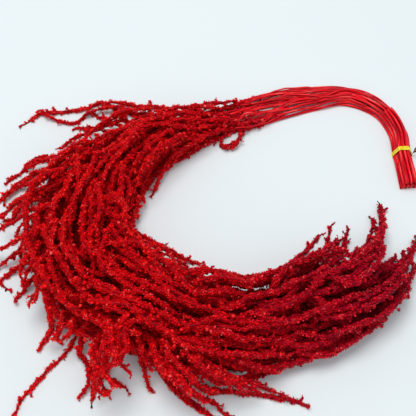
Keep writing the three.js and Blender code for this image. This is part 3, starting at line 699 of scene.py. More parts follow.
# %% Helpers for node trees
class Tree:
    """A Geometry Nodes tree with named number inputs."""

    def __init__(self, name, numbers):
        self.tree = bpy.data.node_groups.new(name, "GeometryNodeTree")
        sockets = self.tree.interface
        sockets.new_socket("Geometry", in_out="INPUT", socket_type="NodeSocketGeometry")
        for label, number in numbers.items():
            kind = "NodeSocketInt" if isinstance(number, int) else "NodeSocketFloat"
            sockets.new_socket(label, in_out="INPUT", socket_type=kind).default_value = number
        sockets.new_socket("Geometry", in_out="OUTPUT", socket_type="NodeSocketGeometry")
        self.start = self.tree.nodes.new("NodeGroupInput").outputs

    def add(self, kind, sockets=(), **settings):
        node = self.tree.nodes.new(kind)
        for key, value in settings.items():
            setattr(node, key, value)
        for key, value in dict(sockets).items():
            if isinstance(value, bpy.types.NodeSocket):
                self.tree.links.new(value, node.inputs[key])
            else:
                node.inputs[key].default_value = value
        return node

    def number(self, operation, a, b=0.0, c=0.0):
        return self.add("ShaderNodeMath", {0: a, 1: b, 2: c}, operation=operation).outputs[0]

    def limited(self, value, low, high, to_low=0.0, to_high=1.0):
        """The value's way from low to high, turned smoothly into one from to_low to to_high."""
        sockets = {"Value": value, "From Min": low, "From Max": high, "To Min": to_low, "To Max": to_high}
        return self.add("ShaderNodeMapRange", sockets, interpolation_type="SMOOTHSTEP").outputs[0]

    def scaled(self, vector, factor):
        node = self.add("ShaderNodeVectorMath", {0: vector, "Scale": factor}, operation="SCALE")
        return node.outputs[0]

    def draw(self, low, high, seed):
        sockets = {2: low, 3: high, "Seed": seed}
        return self.add("FunctionNodeRandomValue", sockets, data_type="FLOAT").outputs[1]

    def draw_vector(self, low, high, seed):
        sockets = {0: low, 1: high, "Seed": seed}
        return self.add("FunctionNodeRandomValue", sockets, data_type="FLOAT_VECTOR").outputs[0]

    def named(self, name):
        return self.add("GeometryNodeInputNamedAttribute", {"Name": name}, data_type="FLOAT").outputs[0]

    def store(self, geometry, name, value, domain="POINT"):
        sockets = {"Geometry": geometry, "Name": name, "Value": value}
        node = self.add("GeometryNodeStoreNamedAttribute", sockets, data_type="FLOAT", domain=domain)
        return node.outputs[0]

    def above_table(self, geometry, height):
        """Lifts what is lower than a height to that height."""
        place = self.add("ShaderNodeSeparateXYZ", {0: self.add("GeometryNodeInputPosition").outputs[0]})
        lifted = self.number("MAXIMUM", place.outputs[2], height)
        sockets = {0: place.outputs[0], 1: place.outputs[1], 2: lifted}
        position = self.add("ShaderNodeCombineXYZ", sockets).outputs[0]
        return self.add("GeometryNodeSetPosition", {"Geometry": geometry, "Position": position}).outputs[0]

    def finish(self, geometry, material):
        done = self.add("GeometryNodeRealizeInstances", {"Geometry": geometry}).outputs[0]
        done = self.add("GeometryNodeSetMaterial", {"Geometry": done, "Material": material}).outputs[0]
        self.add("NodeGroupOutput", {0: done})


def grow(name, mesh, tree, **numbers):
    """Runs a tree on a mesh of bare lines and keeps the outcome as a plain mesh."""
    line = bpy.data.objects.new(name + " line", mesh)
    bpy.context.scene.collection.objects.link(line)
    modifier = line.modifiers.new("grow", "NODES")
    modifier.node_group = tree.tree
    for socket in tree.tree.interface.items_tree:
        if socket.in_out == "INPUT" and socket.name in numbers:
            modifier[socket.identifier] = numbers[socket.name]
    seen = line.evaluated_get(bpy.context.evaluated_depsgraph_get())
    grown = bpy.data.meshes.new_from_object(seen)
    grown.name = name
    line.modifiers.remove(modifier)
    bpy.data.objects.remove(line)
    piece = bpy.data.objects.new(name, grown)
    bpy.context.scene.collection.objects.link(piece)
    return piece


def in_metres(place):
    """A place in millimetres on the table, in metres from the middle of the bunch's box."""
    return ((place[0] - MIDDLE[0]) / 1000, (place[1] - MIDDLE[1]) / 1000, place[2] / 1000)


def line_mesh(name, strands):
    """A mesh of bare lines; each strand is an array of x, y, z in millimetres and named numbers."""
    names = strands[0][1].keys()
    places, edges, numbers = [], [], {key: [] for key in names}
    for points, values in strands:
        first = len(places)
        places += [in_metres(point) for point in points]
        edges += [(i, i + 1) for i in range(first, len(places) - 1)]
        for key in names:
            numbers[key] += list(values[key])
    mesh = bpy.data.meshes.new(name)
    mesh.from_pydata(places, edges, [])
    for key in names:
        mesh.attributes.new(key, "FLOAT", "POINT").data.foreach_set("value", numbers[key])
    return mesh


# %% [markdown]
# ## The dye, with painted shade and highlights
# The bunch was dyed red. The crests of the flower clusters are a bright red and the hollows between
# them a dark wine red, partly dye and partly painted shade, and flowers deep in the heap are darker
# still, which is painted shade. Each flower carries a number, tint, that the tree gives it, and a colour
# ramp turns it into a colour; the palest pink at its top is a painted highlight. Towards the right the
# colour turns a darker, bluer crimson, partly dye and partly painted shade. A fine noise breaks the
# surface of the single flowers and lifts some of them into the painted highlight.


# %% Material of the flowers
def new_material(name, roughness, gloss):
    material = bpy.data.materials.new(name)
    material.use_nodes = True
    shader = material.node_tree.nodes["Principled BSDF"]
    shader.inputs["Roughness"].default_value = roughness
    shader.inputs["Specular IOR Level"].default_value = gloss
    return material, material.node_tree.nodes, material.node_tree.links, shader


def colour_ramp(nodes, stops):
    ramp = nodes.new("ShaderNodeValToRGB")
    elements = ramp.color_ramp.elements
    while len(elements) < len(stops):
        elements.new(0.5)
    for element, (place, colour) in zip(elements, stops):
        element.position = place
        element.color = (*colour, 1)
    return ramp


def dyed_flowers_with_painted_light():
    material, nodes, links, shader = new_material("dyed flowers with painted light", 0.42, 0.07)
    tint = nodes.new("ShaderNodeAttribute")
    tint.attribute_name = "tint"
    where = nodes.new("ShaderNodeTexCoord")
    speckle = nodes.new("ShaderNodeTexNoise")
    speckle.inputs["Scale"].default_value = 950
    speckle.inputs["Detail"].default_value = 1
    links.new(where.outputs["Object"], speckle.inputs["Vector"])
    mixed = nodes.new("ShaderNodeMath")
    mixed.operation = "MULTIPLY_ADD"
    links.new(speckle.outputs["Fac"], mixed.inputs[0])
    mixed.inputs[1].default_value = 0.3
    links.new(tint.outputs["Fac"], mixed.inputs[2])
    # The palest pink at the top of both ramps is a painted highlight; the speckle noise lifts single
    # flowers up into it.
    bright = colour_ramp(nodes, [
        (0.08, (0.08, 0.0, 0.006)), (0.34, (0.48, 0.0, 0.004)), (0.60, (0.90, 0.001, 0.004)),
        (0.90, (1.0, 0.020, 0.016)), (1.0, (1.0, 0.11, 0.10)),
    ])
    deep = colour_ramp(nodes, [
        (0.08, (0.05, 0.0, 0.008)), (0.34, (0.28, 0.0, 0.012)), (0.60, (0.58, 0.001, 0.014)),
        (0.90, (0.82, 0.014, 0.028)), (1.0, (0.90, 0.09, 0.10)),
    ])
    # Partly dye, partly painted shade: towards the right of the bunch the colour turns from the bright
    # ramp to the deep one, a darker and bluer crimson.
    place = nodes.new("ShaderNodeSeparateXYZ")
    links.new(where.outputs["Object"], place.inputs[0])
    deeper_to_the_right = nodes.new("ShaderNodeMapRange")
    deeper_to_the_right.interpolation_type = "SMOOTHSTEP"
    links.new(place.outputs[0], deeper_to_the_right.inputs["Value"])
    deeper_to_the_right.inputs["From Min"].default_value = -0.08
    deeper_to_the_right.inputs["From Max"].default_value = 0.20
    mix = nodes.new("ShaderNodeMix")
    mix.data_type = "RGBA"
    links.new(deeper_to_the_right.outputs[0], mix.inputs[0])
    for ramp, socket in ((bright, 6), (deep, 7)):
        links.new(mixed.outputs[0], ramp.inputs["Fac"])
        links.new(ramp.outputs["Color"], mix.inputs[socket])
    links.new(mix.outputs[2], shader.inputs["Base Color"])
    bump = nodes.new("ShaderNodeBump")
    bump.inputs["Strength"].default_value = 0.7
    bump.inputs["Distance"].default_value = 0.0005
    links.new(speckle.outputs["Fac"], bump.inputs["Height"])
    links.new(bump.outputs["Normal"], shader.inputs["Normal"])
    return material


FLOWER_DYE_AND_PAINTED_LIGHT = dyed_flowers_with_painted_light()
print("material", FLOWER_DYE_AND_PAINTED_LIGHT.name)

# %% [markdown]
# ## Tassels: the bodies
# A tassel is a thin branch, packed all round with short twigs and clusters of tiny flowers. One way
# would be a sculpted tube with a rough texture, but its rim would stay smooth. Here a first tree
# makes the body: it sweeps a ring along each line, lets short twigs stand out at an angle, and lets
# a cell pattern raise lumps. A second tree then sets the single flowers on it.


# %% The tree of the tassel bodies
def lump_height(tree, size):
    """From 0 in the hollows to 1 on the crests of a cell pattern."""
    place = tree.add("GeometryNodeInputPosition").outputs[0]
    cells = tree.add("ShaderNodeTexVoronoi", {
        "Vector": tree.scaled(place, tree.number("DIVIDE", 1.0, size)), "Scale": 1.0,
    })
    return tree.limited(cells.outputs["Distance"], 0.15, 0.8, 1.0, 0.0)


def body_tree():
    tree = Tree("tassel bodies", {
        "Sides": 6, "Ring pitch": 0.0044, "Body share": 0.74, "Wiggle": 0.0022, "Wiggle length": 0.018,
        "Twig spacing": 0.009, "Twig length": 0.0066, "Twig share": 0.55,
        "Lump size": 0.0054, "Lump height": 0.0018,
    })
    start = tree.start
    line = tree.add("GeometryNodeMeshToCurve", {"Mesh": start["Geometry"]}).outputs[0]
    line = tree.add("GeometryNodeResampleCurve", {
        "Curve": line, "Length": start["Ring pitch"],
    }, mode="LENGTH").outputs[0]
    place = tree.add("GeometryNodeInputPosition").outputs[0]
    noise = tree.add("ShaderNodeTexNoise", {
        "Vector": tree.scaled(place, tree.number("DIVIDE", 1.0, start["Wiggle length"])),
        "Scale": 1.0, "Detail": 1.0,
    })
    centred = tree.add("ShaderNodeVectorMath", {
        0: noise.outputs["Color"], 1: (0.5, 0.5, 0.5),
    }, operation="SUBTRACT").outputs[0]
    line = tree.add("GeometryNodeSetPosition", {
        "Geometry": line,
        "Offset": tree.scaled(centred, tree.number("MULTIPLY", start["Wiggle"], 2.0)),
    }).outputs[0]

    spots = tree.add("GeometryNodeCurveToPoints", {
        "Curve": line, "Length": start["Twig spacing"],
    }, mode="LENGTH")
    forward = tree.add("FunctionNodeAlignRotationToVector", {
        "Vector": spots.outputs["Tangent"],
    }, axis="Z").outputs[0]
    lean = tree.draw_vector((0.6, 0.0, -3.14), (1.25, 0.0, 3.14), 3)
    lean = tree.add("FunctionNodeEulerToRotation", {0: lean}).outputs[0]
    stand = tree.add("FunctionNodeRotateRotation", {
        "Rotation": forward, "Rotate By": lean,
    }, rotation_space="LOCAL").outputs[0]
    twig = tree.add("GeometryNodeCurvePrimitiveLine", {"Start": (0, 0, 0), "End": (0, 0, 1)}).outputs[0]
    twig = tree.add("GeometryNodeResampleCurve", {"Curve": twig, "Count": 3}, mode="COUNT").outputs[0]
    reach = tree.number("MULTIPLY", start["Twig length"], tree.draw(0.45, 1.35, 4))
    bushy = tree.add("FunctionNodeCompare", {0: tree.named("bushy"), 1: 0.5}, operation="GREATER_THAN")
    twigs = tree.add("GeometryNodeInstanceOnPoints", {
        "Points": spots.outputs["Points"], "Selection": bushy.outputs[0],
        "Instance": twig, "Rotation": stand,
        "Scale": tree.scaled((1, 1, 1), reach),
    }).outputs[0]
    twigs = tree.add("GeometryNodeRealizeInstances", {"Geometry": twigs}).outputs[0]
    taper = tree.add("GeometryNodeSplineParameter").outputs["Factor"]
    taper = tree.limited(taper, 0.5, 1.0, 1.0, 0.7)
    thickness = tree.named("thickness")
    thinner = tree.number("MULTIPLY", tree.number("MULTIPLY", thickness, start["Twig share"]), taper)
    twigs = tree.store(twigs, "thickness", thinner)

    both = tree.add("GeometryNodeJoinGeometry", {0: line})
    tree.tree.links.new(twigs, both.inputs[0])
    ring = tree.add("GeometryNodeCurvePrimitiveCircle", {"Resolution": start["Sides"], "Radius": 1.0})
    body = tree.add("GeometryNodeCurveToMesh", {
        "Curve": both.outputs[0], "Profile Curve": ring.outputs[0], "Fill Caps": True,
        "Scale": tree.number("MULTIPLY", thickness, start["Body share"]),
    }).outputs[0]
    lump = lump_height(tree, start["Lump size"])
    raised = tree.number("MULTIPLY", tree.number("SUBTRACT", lump, 0.5), start["Lump height"])
    normal = tree.add("GeometryNodeInputNormal").outputs[0]
    body = tree.add("GeometryNodeSetPosition", {
        "Geometry": body, "Offset": tree.scaled(normal, raised),
    }).outputs[0]
    body = tree.above_table(body, 0.0002)
    # Partly dye, partly painted shade: the body, seen in the gaps between the flowers, gets a low tint and
    # so a dark wine red, a little lighter on the lump crests.
    body = tree.store(body, "tint", tree.number("MULTIPLY_ADD", lump, 0.26, 0.02))
    tree.finish(body, FLOWER_DYE_AND_PAINTED_LIGHT)
    return tree


BODIES = body_tree()
print("body tree with", len(BODIES.tree.nodes), "nodes")


# %% Grow the bodies
def finer(points, *numbers):
    """A smoother line with twice as many points, and its numbers taken along."""
    columns = smooth_line(np.column_stack([points, *numbers]), 2)
    return columns[:, :3], columns[:, 3:].T


def triangles(mesh):
    mesh.calc_loop_triangles()
    return len(mesh.loop_triangles)


THINNEST = 2.2  # least radius of a tassel's body, in millimetres
bodies = []
for number in range(len(HEADS)):
    draw = Draw(HEADS[number][5] + 2100)
    strands = []
    for layer, bushy in ((tassels, 1.0), (lowest_layer, 0.0)):
        for owner, points, radii in layer:
            if owner == number:
                places, (thickness,) = finer(points, radii)
                strands.append((places, {
                    "thickness": np.maximum(thickness, THINNEST) / 1000,
                    "strand_tint": np.full(len(places), draw.next()),
                    "bushy": np.full(len(places), bushy),
                }))
    name = "body_%02d" % (number + 1)
    bodies.append(grow(name, line_mesh(name, strands), BODIES))
print("bodies:", sum(triangles(body.data) for body in bodies), "triangles")

# %% [markdown]
# ## Which parts of the bodies can be seen
# Most of the heap is hidden inside it, and flowers there would be wasted. So from each face of the
# bodies a few lines of sight go out, to the sides and upwards, and each face keeps the share of them
# that gets out of the heap, as an attribute named open.

# %% Lines of sight
SIGHT_LINES = 18
SIGHT_LENGTH = 0.09


def sight_directions(count):
    """Directions spread evenly over the upper half of a ball, and a little below its rim."""
    i = np.arange(count) + 0.5
    up = 1.0 - 1.12 * i / count
    turn = i * math.pi * (3 - math.sqrt(5))
    flat = np.sqrt(1 - up**2)
    return np.column_stack([np.cos(turn) * flat, np.sin(turn) * flat, up])


def keep_open_share(pieces):
    places, faces = [], []
    for piece in pieces:
        first = len(places)
        places += [v.co[:] for v in piece.data.vertices]
        faces += [[first + i for i in face.vertices] for face in piece.data.polygons]
    heap = BVHTree.FromPolygons(places, faces)
    directions = sight_directions(SIGHT_LINES)
    vectors = [Vector(d) for d in directions]
    for piece in pieces:
        mesh = piece.data
        centres, normals = np.zeros((2, len(mesh.polygons), 3))
        mesh.polygons.foreach_get("center", centres.ravel())
        mesh.polygons.foreach_get("normal", normals.ravel())
        ahead = normals @ directions.T > 0.15
        shares = []
        for centre, normal, look in zip(centres, normals, ahead):
            eye = Vector(centre + normal * 0.0004)
            out = 0
            for i in np.nonzero(look)[0]:
                if heap.ray_cast(eye, vectors[i], SIGHT_LENGTH)[0] is None:
                    out += 1
            shares.append(out / SIGHT_LINES)
        mesh.attributes.new("open", "FLOAT", "FACE").data.foreach_set("value", shares)
        yield float(np.mean(np.array(shares) > 0))


seen = list(keep_open_share(bodies))
print("share of the faces that can be seen", round(sum(seen) / len(seen), 2))

# %% [markdown]
# ## Tassels: the flowers
# Amaranth flowers sit in tight round clusters, with single ones between them. The second tree
# scatters points over the bodies where these can be seen, moves each out by the cell pattern, and
# sets a bead there, turned and sized at random: round ones of twenty faces for the clusters, and
# small ones of eight faces for the single flowers. Each bead keeps its own tint. It is lower in the
# hollows of the cell pattern, partly dye and partly painted shade, and lower where few lines of
# sight get out of the heap, which is painted shade.


# %% The tree of the flowers
def scattered(tree, bead, size, spacing, lift, seed):
    """Beads of one kind over the body, where it can be seen."""
    start = tree.start
    open_share = tree.named("open")
    crowd = tree.number("DIVIDE", 3.0, tree.number("POWER", spacing, 2.0))
    points = tree.add("GeometryNodeDistributePointsOnFaces", {
        "Mesh": start["Geometry"], "Distance Min": spacing, "Density Max": crowd,
        "Density Factor": tree.limited(open_share, 0.0, 0.12, 0.0, 1.0),
        "Seed": tree.number("ADD", start["Seed"], seed),
    }, distribute_method="POISSON")
    lump = lump_height(tree, start["Lump size"])
    own = tree.draw(0.0, 1.0, seed + 1)
    # Partly dye, partly painted shade: a bead on a lump crest gets a higher tint than one in a hollow; own
    # and strand_tint are the dye's random differences.
    tint = tree.number("MULTIPLY_ADD", lump, 0.26, tree.number("MULTIPLY", own, 0.55))
    tint = tree.number("MULTIPLY_ADD", tree.named("strand_tint"), 0.15, tint)
    # Painted shade: a bead where few lines of sight get out of the heap is darkened, down to half its
    # tint.
    light = tree.limited(open_share, 0.0, 0.35, 0.5, 1.0)
    beads = tree.store(points.outputs["Points"], "tint", tree.number("MULTIPLY", tint, light))
    height = tree.number("ADD", lump, tree.draw(-0.5, 0.5, seed + 2))
    height = tree.number("MULTIPLY_ADD", height, start["Lump height"], lift)
    beads = tree.add("GeometryNodeSetPosition", {
        "Geometry": beads, "Offset": tree.scaled(points.outputs["Normal"], height),
    }).outputs[0]
    beads = tree.above_table(beads, tree.number("MULTIPLY", size, 1.3))
    lean = tree.draw_vector((-0.7, -0.7, -3.1), (0.7, 0.7, 3.1), seed + 3)
    turn = tree.add("FunctionNodeEulerToRotation", {0: lean}).outputs[0]
    turn = tree.add("FunctionNodeRotateRotation", {
        "Rotation": points.outputs["Rotation"], "Rotate By": turn,
    }, rotation_space="LOCAL").outputs[0]
    stretch = tree.draw_vector((0.72, 0.72, 0.72), (1.25, 1.25, 1.3), seed + 4)
    return tree.add("GeometryNodeInstanceOnPoints", {
        "Points": beads, "Instance": bead, "Rotation": turn, "Scale": tree.scaled(stretch, size),
    }).outputs[0]


def flower_tree():
    tree = Tree("flowers", {
        "Cluster size": 0.0016, "Cluster spacing": 0.0044, "Flower size": 0.0010,
        "Flower spacing": 0.00145, "Flower lift": 0.0002, "Lump size": 0.0054, "Lump height": 0.0008,
        "Seed": 1,
    })
    start = tree.start
    ball = tree.add("GeometryNodeMeshIcoSphere", {"Radius": 1.0, "Subdivisions": 1}).outputs[0]
    ball = tree.add("GeometryNodeSetShadeSmooth", {"Geometry": ball, "Shade Smooth": True}).outputs[0]
    grain = tree.add("GeometryNodeMeshUVSphere", {"Segments": 4, "Rings": 2, "Radius": 1.0}).outputs[0]
    grain = tree.add("GeometryNodeSetShadeSmooth", {"Geometry": grain, "Shade Smooth": True}).outputs[0]
    clusters = scattered(tree, ball, start["Cluster size"], start["Cluster spacing"], 0.0, 10)
    flowers = scattered(
        tree, grain, start["Flower size"], start["Flower spacing"], start["Flower lift"], 20)
    joined = tree.add("GeometryNodeJoinGeometry", {0: start["Geometry"]})
    for beads in (clusters, flowers):
        tree.tree.links.new(beads, joined.inputs[0])
    tree.finish(joined.outputs[0], FLOWER_DYE_AND_PAINTED_LIGHT)
    return tree


FLOWERS = flower_tree()
print("flower tree with", len(FLOWERS.tree.nodes), "nodes")


# %% Dress the tassels of each head
def dress(piece, node, material):
    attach(piece, "root")
    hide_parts(node)
    print(piece.name, triangles(piece.data), "triangles of", material.name)


total = 0
for number, body in enumerate(bodies):
    node = "seed_head_%02d" % (number + 1)
    piece = grow(node + "_tassels", body.data, FLOWERS, Seed=number + 1)
    bpy.data.objects.remove(body)
    total += triangles(piece.data)
    dress(piece, node, FLOWER_DYE_AND_PAINTED_LIGHT)
print("triangles of all tassels", total)

# %% [markdown]
# ## Stems
# A dried amaranth stem is ribbed along its length and takes the dye unevenly: a warm crimson with
# paler and darker streaks, the palest pink of which is a painted highlight. The tree sweeps a ring
# with a few ribs along each stem. It stores how far along and how far round the stem each point is,
# so that the material can draw streaks that follow every bend.


# %% Material of the stems
def dyed_stems_with_painted_highlight():
    material, nodes, links, shader = new_material("dyed stems with painted highlight", 0.38, 0.12)
    axes = nodes.new("ShaderNodeCombineXYZ")
    for key, socket in (("along", 0), ("side", 1), ("up", 2)):
        number = nodes.new("ShaderNodeAttribute")
        number.attribute_name = key
        links.new(number.outputs["Fac"], axes.inputs[socket])
    noise = nodes.new("ShaderNodeTexNoise")
    noise.inputs["Scale"].default_value = 1.6
    noise.inputs["Detail"].default_value = 3
    links.new(axes.outputs[0], noise.inputs["Vector"])
    # The palest pink at the top of the ramp is a painted highlight on the streaks.
    ramp = colour_ramp(nodes, [
        (0.32, (0.12, 0.0, 0.006)), (0.45, (0.56, 0.001, 0.010)),
        (0.59, (1.0, 0.009, 0.018)), (0.72, (1.0, 0.24, 0.20)),
    ])
    links.new(noise.outputs["Fac"], ramp.inputs["Fac"])
    links.new(ramp.outputs["Color"], shader.inputs["Base Color"])
    bump = nodes.new("ShaderNodeBump")
    bump.inputs["Strength"].default_value = 0.5
    bump.inputs["Distance"].default_value = 0.0004
    links.new(noise.outputs["Fac"], bump.inputs["Height"])
    links.new(bump.outputs["Normal"], shader.inputs["Normal"])
    return material


STEM_DYE_AND_HIGHLIGHT = dyed_stems_with_painted_highlight()
print("material", STEM_DYE_AND_HIGHLIGHT.name)


# %% The stem tree
def stem_tree():
    tree = Tree("stems", {
        "Sides": 12, "Ribs": 4.0, "Rib height": 0.1, "Streak length": 0.045, "Sway": 0.0022,
        "Sway length": 0.045, "Seed": 1,
    })
    start = tree.start
    line = tree.add("GeometryNodeMeshToCurve", {"Mesh": start["Geometry"]}).outputs[0]
    length = tree.add("GeometryNodeSplineParameter").outputs["Length"]
    streaks = tree.number("DIVIDE", length, start["Streak length"])
    line = tree.store(line, "along", tree.number("MULTIPLY_ADD", start["Seed"], 7.3, streaks))
    place = tree.add("GeometryNodeInputPosition").outputs[0]
    noise = tree.add("ShaderNodeTexNoise", {
        "Vector": tree.scaled(place, tree.number("DIVIDE", 1.0, start["Sway length"])),
        "W": tree.number("MULTIPLY", start["Seed"], 5.7), "Scale": 1.0, "Detail": 1.0,
    }, noise_dimensions="4D")
    centred = tree.add("ShaderNodeVectorMath", {
        0: noise.outputs["Color"], 1: (0.5, 0.5, 0.5),
    }, operation="SUBTRACT").outputs[0]
    sway = tree.number("MULTIPLY", tree.named("free"), tree.number("MULTIPLY", start["Sway"], 2.0))
    line = tree.add("GeometryNodeSetPosition", {
        "Geometry": line, "Offset": tree.scaled(centred, sway),
    }).outputs[0]
    circle = tree.add("GeometryNodeCurvePrimitiveCircle", {"Resolution": start["Sides"], "Radius": 1.0})
    round_share = tree.add("GeometryNodeSplineParameter").outputs["Factor"]
    angle = tree.number("MULTIPLY", round_share, 2 * math.pi)
    ring = tree.store(circle.outputs[0], "side", tree.number("COSINE", angle))
    ring = tree.store(ring, "up", tree.number("SINE", angle))
    rib = tree.number("COSINE", tree.number("MULTIPLY", angle, start["Ribs"]))
    swell = tree.number("MULTIPLY_ADD", rib, start["Rib height"], 1.0)
    flat = tree.add("GeometryNodeInputPosition").outputs[0]
    ring = tree.add("GeometryNodeSetPosition", {
        "Geometry": ring, "Position": tree.scaled(flat, swell),
    }).outputs[0]
    stem = tree.add("GeometryNodeCurveToMesh", {
        "Curve": line, "Profile Curve": ring, "Scale": tree.named("thickness"), "Fill Caps": True,
    }).outputs[0]
    stem = tree.add("GeometryNodeSetShadeSmooth", {"Geometry": stem, "Shade Smooth": True}).outputs[0]
    tree.finish(tree.above_table(stem, 0.0), STEM_DYE_AND_HIGHLIGHT)
    return tree


STEMS = stem_tree()
print("stem tree with", len(STEMS.tree.nodes), "nodes")

# %% Dress the stem of each head
# A stem keeps still inside the tie and sways more and more behind it.
STILL = 45  # millimetres from the tie
LOOSENING = 60
for number, points, radii in stems:
    strands = []
    for owner, way, widths in [(number, points, radii)] + shoots:
        if owner == number:
            places, (thickness,) = finer(way, widths)
            away = np.hypot(*(places[:, :2] - tie_place).T)
            free = smooth_step((away - STILL) / LOOSENING)
            strands.append((places, {"thickness": thickness / 1000, "free": free}))
    node = "seed_head_%02d" % (number + 1)
    piece = grow(node + "_stem", line_mesh(node, strands), STEMS, Seed=number + 1)
    dress(piece, node, STEM_DYE_AND_HIGHLIGHT)

# %% [markdown]
# ## The tie
# The stems are held by a strip of yellow plastic with a wire core, wound once round them and twisted
# at the side. The band is the outline that a string pulled tight round the stems would take, a little
# off them, with a thin ridge in its middle where the wire runs.


# %% The outline of a tight band round the stems
TIE_WIDTH = 5
TIE_THICKNESS = 0.8
TIE_CLEARANCE = 0.4
TIE_DIRECTIONS = 72
tie_along = on_line(TIE_AT + 6, 0) - on_line(TIE_AT - 6, 0)
tie_along /= np.linalg.norm(tie_along)
tie_across = np.array([-tie_along[1], tie_along[0]])


def tight_outline(off):
    """Corners (across, up) of the tightest outline round the stems that stands off them."""
    share = np.array([0, 0.25, 0.5, 0.75])[None, :, None]
    places = (pile.a[:, None] * (1 - share) + pile.b[:, None] * share).reshape(-1, 3)
    flat = places[:, :2] - tie_place
    passes = (np.abs(flat @ tie_along) < TIE_WIDTH / 2 + 3) & (np.abs(flat @ tie_across) < 20)
    across, up = (flat @ tie_across)[passes], places[passes, 2]
    angles = np.arange(TIE_DIRECTIONS) / TIE_DIRECTIONS * 2 * math.pi
    reach = (np.outer(np.cos(angles), across) + np.outer(np.sin(angles), up)).max(axis=1) + off
    after, turned = np.roll(reach, -1), np.roll(angles, -1)
    det = np.sin(turned - angles)
    corners = np.column_stack([
        (reach * np.sin(turned) - after * np.sin(angles)) / det,
        np.maximum((after * np.cos(angles) - reach * np.cos(turned)) / det, 0.02),
    ])
    return corners


stems_outline = tight_outline(STEM_RADIUS + TIE_CLEARANCE)
print("the tie is", round(np.ptp(stems_outline[:, 0]) + 2 * TIE_THICKNESS, 1), "mm wide over all")


# %% Band and twisted ends
def loft(name, rings, closed):
    """A closed skin over rings of points in millimetres; the last ring meets the first if closed."""
    count, sides = len(rings), len(rings[0])
    mesh = bpy.data.meshes.new(name)
    places = [in_metres(place) for ring in rings for place in ring]
    faces = []
    for i in range(count if closed else count - 1):
        for j in range(sides):
            a, b = i * sides, (i + 1) % count * sides
            faces.append((a + j, a + (j + 1) % sides, b + (j + 1) % sides, b + j))
    if not closed:
        faces.append(tuple(range(sides))[::-1])
        faces.append(tuple(range((count - 1) * sides, count * sides)))
    mesh.from_pydata(places, [], faces)
    return mesh


def tie_point(across, up, along):
    flat = tie_place + tie_across * across + tie_along * along
    return (flat[0], flat[1], max(up, 0.01))


# The band's section: (how far out, how far along), out of TIE_THICKNESS and half TIE_WIDTH.
BAND_SECTION = [
    (0.15, -1.0), (0.6, -1.0), (0.72, -0.85), (0.6, -0.5), (0.66, -0.2), (1.0, 0.0), (0.66, 0.2),
    (0.6, 0.5), (0.72, 0.85), (0.6, 1.0), (0.15, 1.0), (0.0, 0.8), (0.0, -0.8),
]
rings = []
middle = stems_outline.mean(axis=0)
for k, corner in enumerate(stems_outline):
    outward = (corner - middle) / np.linalg.norm(corner - middle)
    slip = 0.25 * math.sin(k / TIE_DIRECTIONS * 4 * math.pi)
    rings.append([
        tie_point(*(corner + outward * out * TIE_THICKNESS), share * TIE_WIDTH / 2 + slip)
        for out, share in BAND_SECTION
    ])
band = loft("tie_band", rings, True)
print("band", len(band.polygons), "faces")

# The twisted ends: places (out, up, along) from the band's outer side.
FOOT = [(-0.3, -0.6, 0), (1.2, 1.2, 0.2), (2.2, 3.4, 0), (2.6, 5.8, 0.6), (3.4, 7.6, 2.2), (5.2, 8.6, 4.4)]
BRANCH = [(1.6, 3.2, 0.2), (2.4, 5.2, 0), (2.0, 7.4, -1.4), (3.2, 8.8, -3.8)]
TAIL_WIDTH = 1.9
TAIL_THICKNESS = 0.6
TAIL_TWIST = 0.9
TAIL_SECTION = [(1, 0.4), (0.8, 1), (-0.8, 1), (-1, 0.4), (-1, -0.4), (-0.8, -1), (0.8, -1), (1, -0.4)]
SIDE_SHARE = 165 / 360
TAIL_PARTS = 5
ASIDE = (0.31, 0.95, 0.05)  # a direction that no stretch of the ends takes, to turn the section from


def twisted_end(name, way):
    side = stems_outline[int(TIE_DIRECTIONS * SIDE_SHARE)]
    line = np.array([tie_point(side[0] - out, side[1] + up, end) for out, up, end in way])
    line = smooth_line(line, TAIL_PARTS)
    tangents = np.gradient(line, axis=0)
    rings = []
    for i, (place, tangent) in enumerate(zip(line, tangents)):
        tangent = tangent / np.linalg.norm(tangent)
        first = np.cross(ASIDE, tangent)
        first /= np.linalg.norm(first)
        turn = i * TAIL_TWIST / TAIL_PARTS
        wide = first * math.cos(turn) + np.cross(tangent, first) * math.sin(turn)
        thin = np.cross(tangent, wide)
        rings.append([
            place + wide * u * TAIL_WIDTH / 2 + thin * v * TAIL_THICKNESS / 2 for u, v in TAIL_SECTION
        ])
    return loft(name, rings, False)


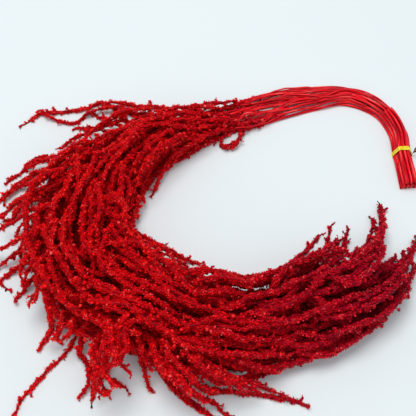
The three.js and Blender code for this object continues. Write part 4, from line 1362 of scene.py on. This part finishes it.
# %% Material of the tie
def yellow_plastic():
    material, nodes, links, shader = new_material("yellow plastic", 0.36, 0.3)
    where = nodes.new("ShaderNodeTexCoord")
    noise = nodes.new("ShaderNodeTexNoise")
    noise.inputs["Scale"].default_value = 420
    noise.inputs["Detail"].default_value = 2
    links.new(where.outputs["Object"], noise.inputs["Vector"])
    # The band is a yellow that varies with the noise, and the twisted ends are a dark brown.
    plain_yellow = colour_ramp(nodes, [
        (0.35, (0.62, 0.42, 0.004)), (0.52, (0.88, 0.70, 0.010)), (0.75, (0.95, 0.86, 0.10)),
    ])
    dark_brown = colour_ramp(nodes, [
        (0.35, (0.010, 0.003, 0.001)), (0.6, (0.08, 0.03, 0.002)), (0.8, (0.40, 0.24, 0.01)),
    ])
    dark_brown_share = nodes.new("ShaderNodeAttribute")
    dark_brown_share.attribute_name = "dark_brown_share"
    mix = nodes.new("ShaderNodeMix")
    mix.data_type = "RGBA"
    links.new(noise.outputs["Fac"], plain_yellow.inputs["Fac"])
    links.new(noise.outputs["Fac"], dark_brown.inputs["Fac"])
    links.new(dark_brown_share.outputs["Fac"], mix.inputs[0])
    links.new(plain_yellow.outputs["Color"], mix.inputs[6])
    links.new(dark_brown.outputs["Color"], mix.inputs[7])
    links.new(mix.outputs[2], shader.inputs["Base Color"])
    return material


TIE_PLASTIC = yellow_plastic()


# %% Join band and ends to one piece
def outward_faces(mesh):
    shell = bmesh.new()
    shell.from_mesh(mesh)
    bmesh.ops.recalc_face_normals(shell, faces=shell.faces)
    shell.to_mesh(mesh)
    shell.free()


# The band is plain yellow (0) and the twisted ends dark brown (1).
parts = [(band, 0.0), (twisted_end("tie_foot", FOOT), 1.0), (twisted_end("tie_branch", BRANCH), 1.0)]
places, faces, dark_brown_share = [], [], []
for mesh, darkness in parts:
    outward_faces(mesh)
    first = len(places)
    places += [tuple(v.co) for v in mesh.vertices]
    faces += [tuple(first + i for i in polygon.vertices) for polygon in mesh.polygons]
    dark_brown_share += [darkness] * len(mesh.vertices)
tie_mesh = bpy.data.meshes.new("yellow_tie")
tie_mesh.from_pydata(places, [], faces)
tie_mesh.attributes.new("dark_brown_share", "FLOAT", "POINT").data.foreach_set("value", dark_brown_share)
tie_mesh.materials.append(TIE_PLASTIC)
yellow_tie = bpy.data.objects.new("yellow_tie", tie_mesh)
bpy.context.scene.collection.objects.link(yellow_tie)
dress(yellow_tie, "tie", TIE_PLASTIC)

# %% Keep the dressed box beside the model's box
dressed_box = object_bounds()
print("dressed box", dressed_box)
boxes = {"cad": cad_box, "scene": dressed_box}
{name: [list(corner) for corner in box] for name, box in boxes.items()}
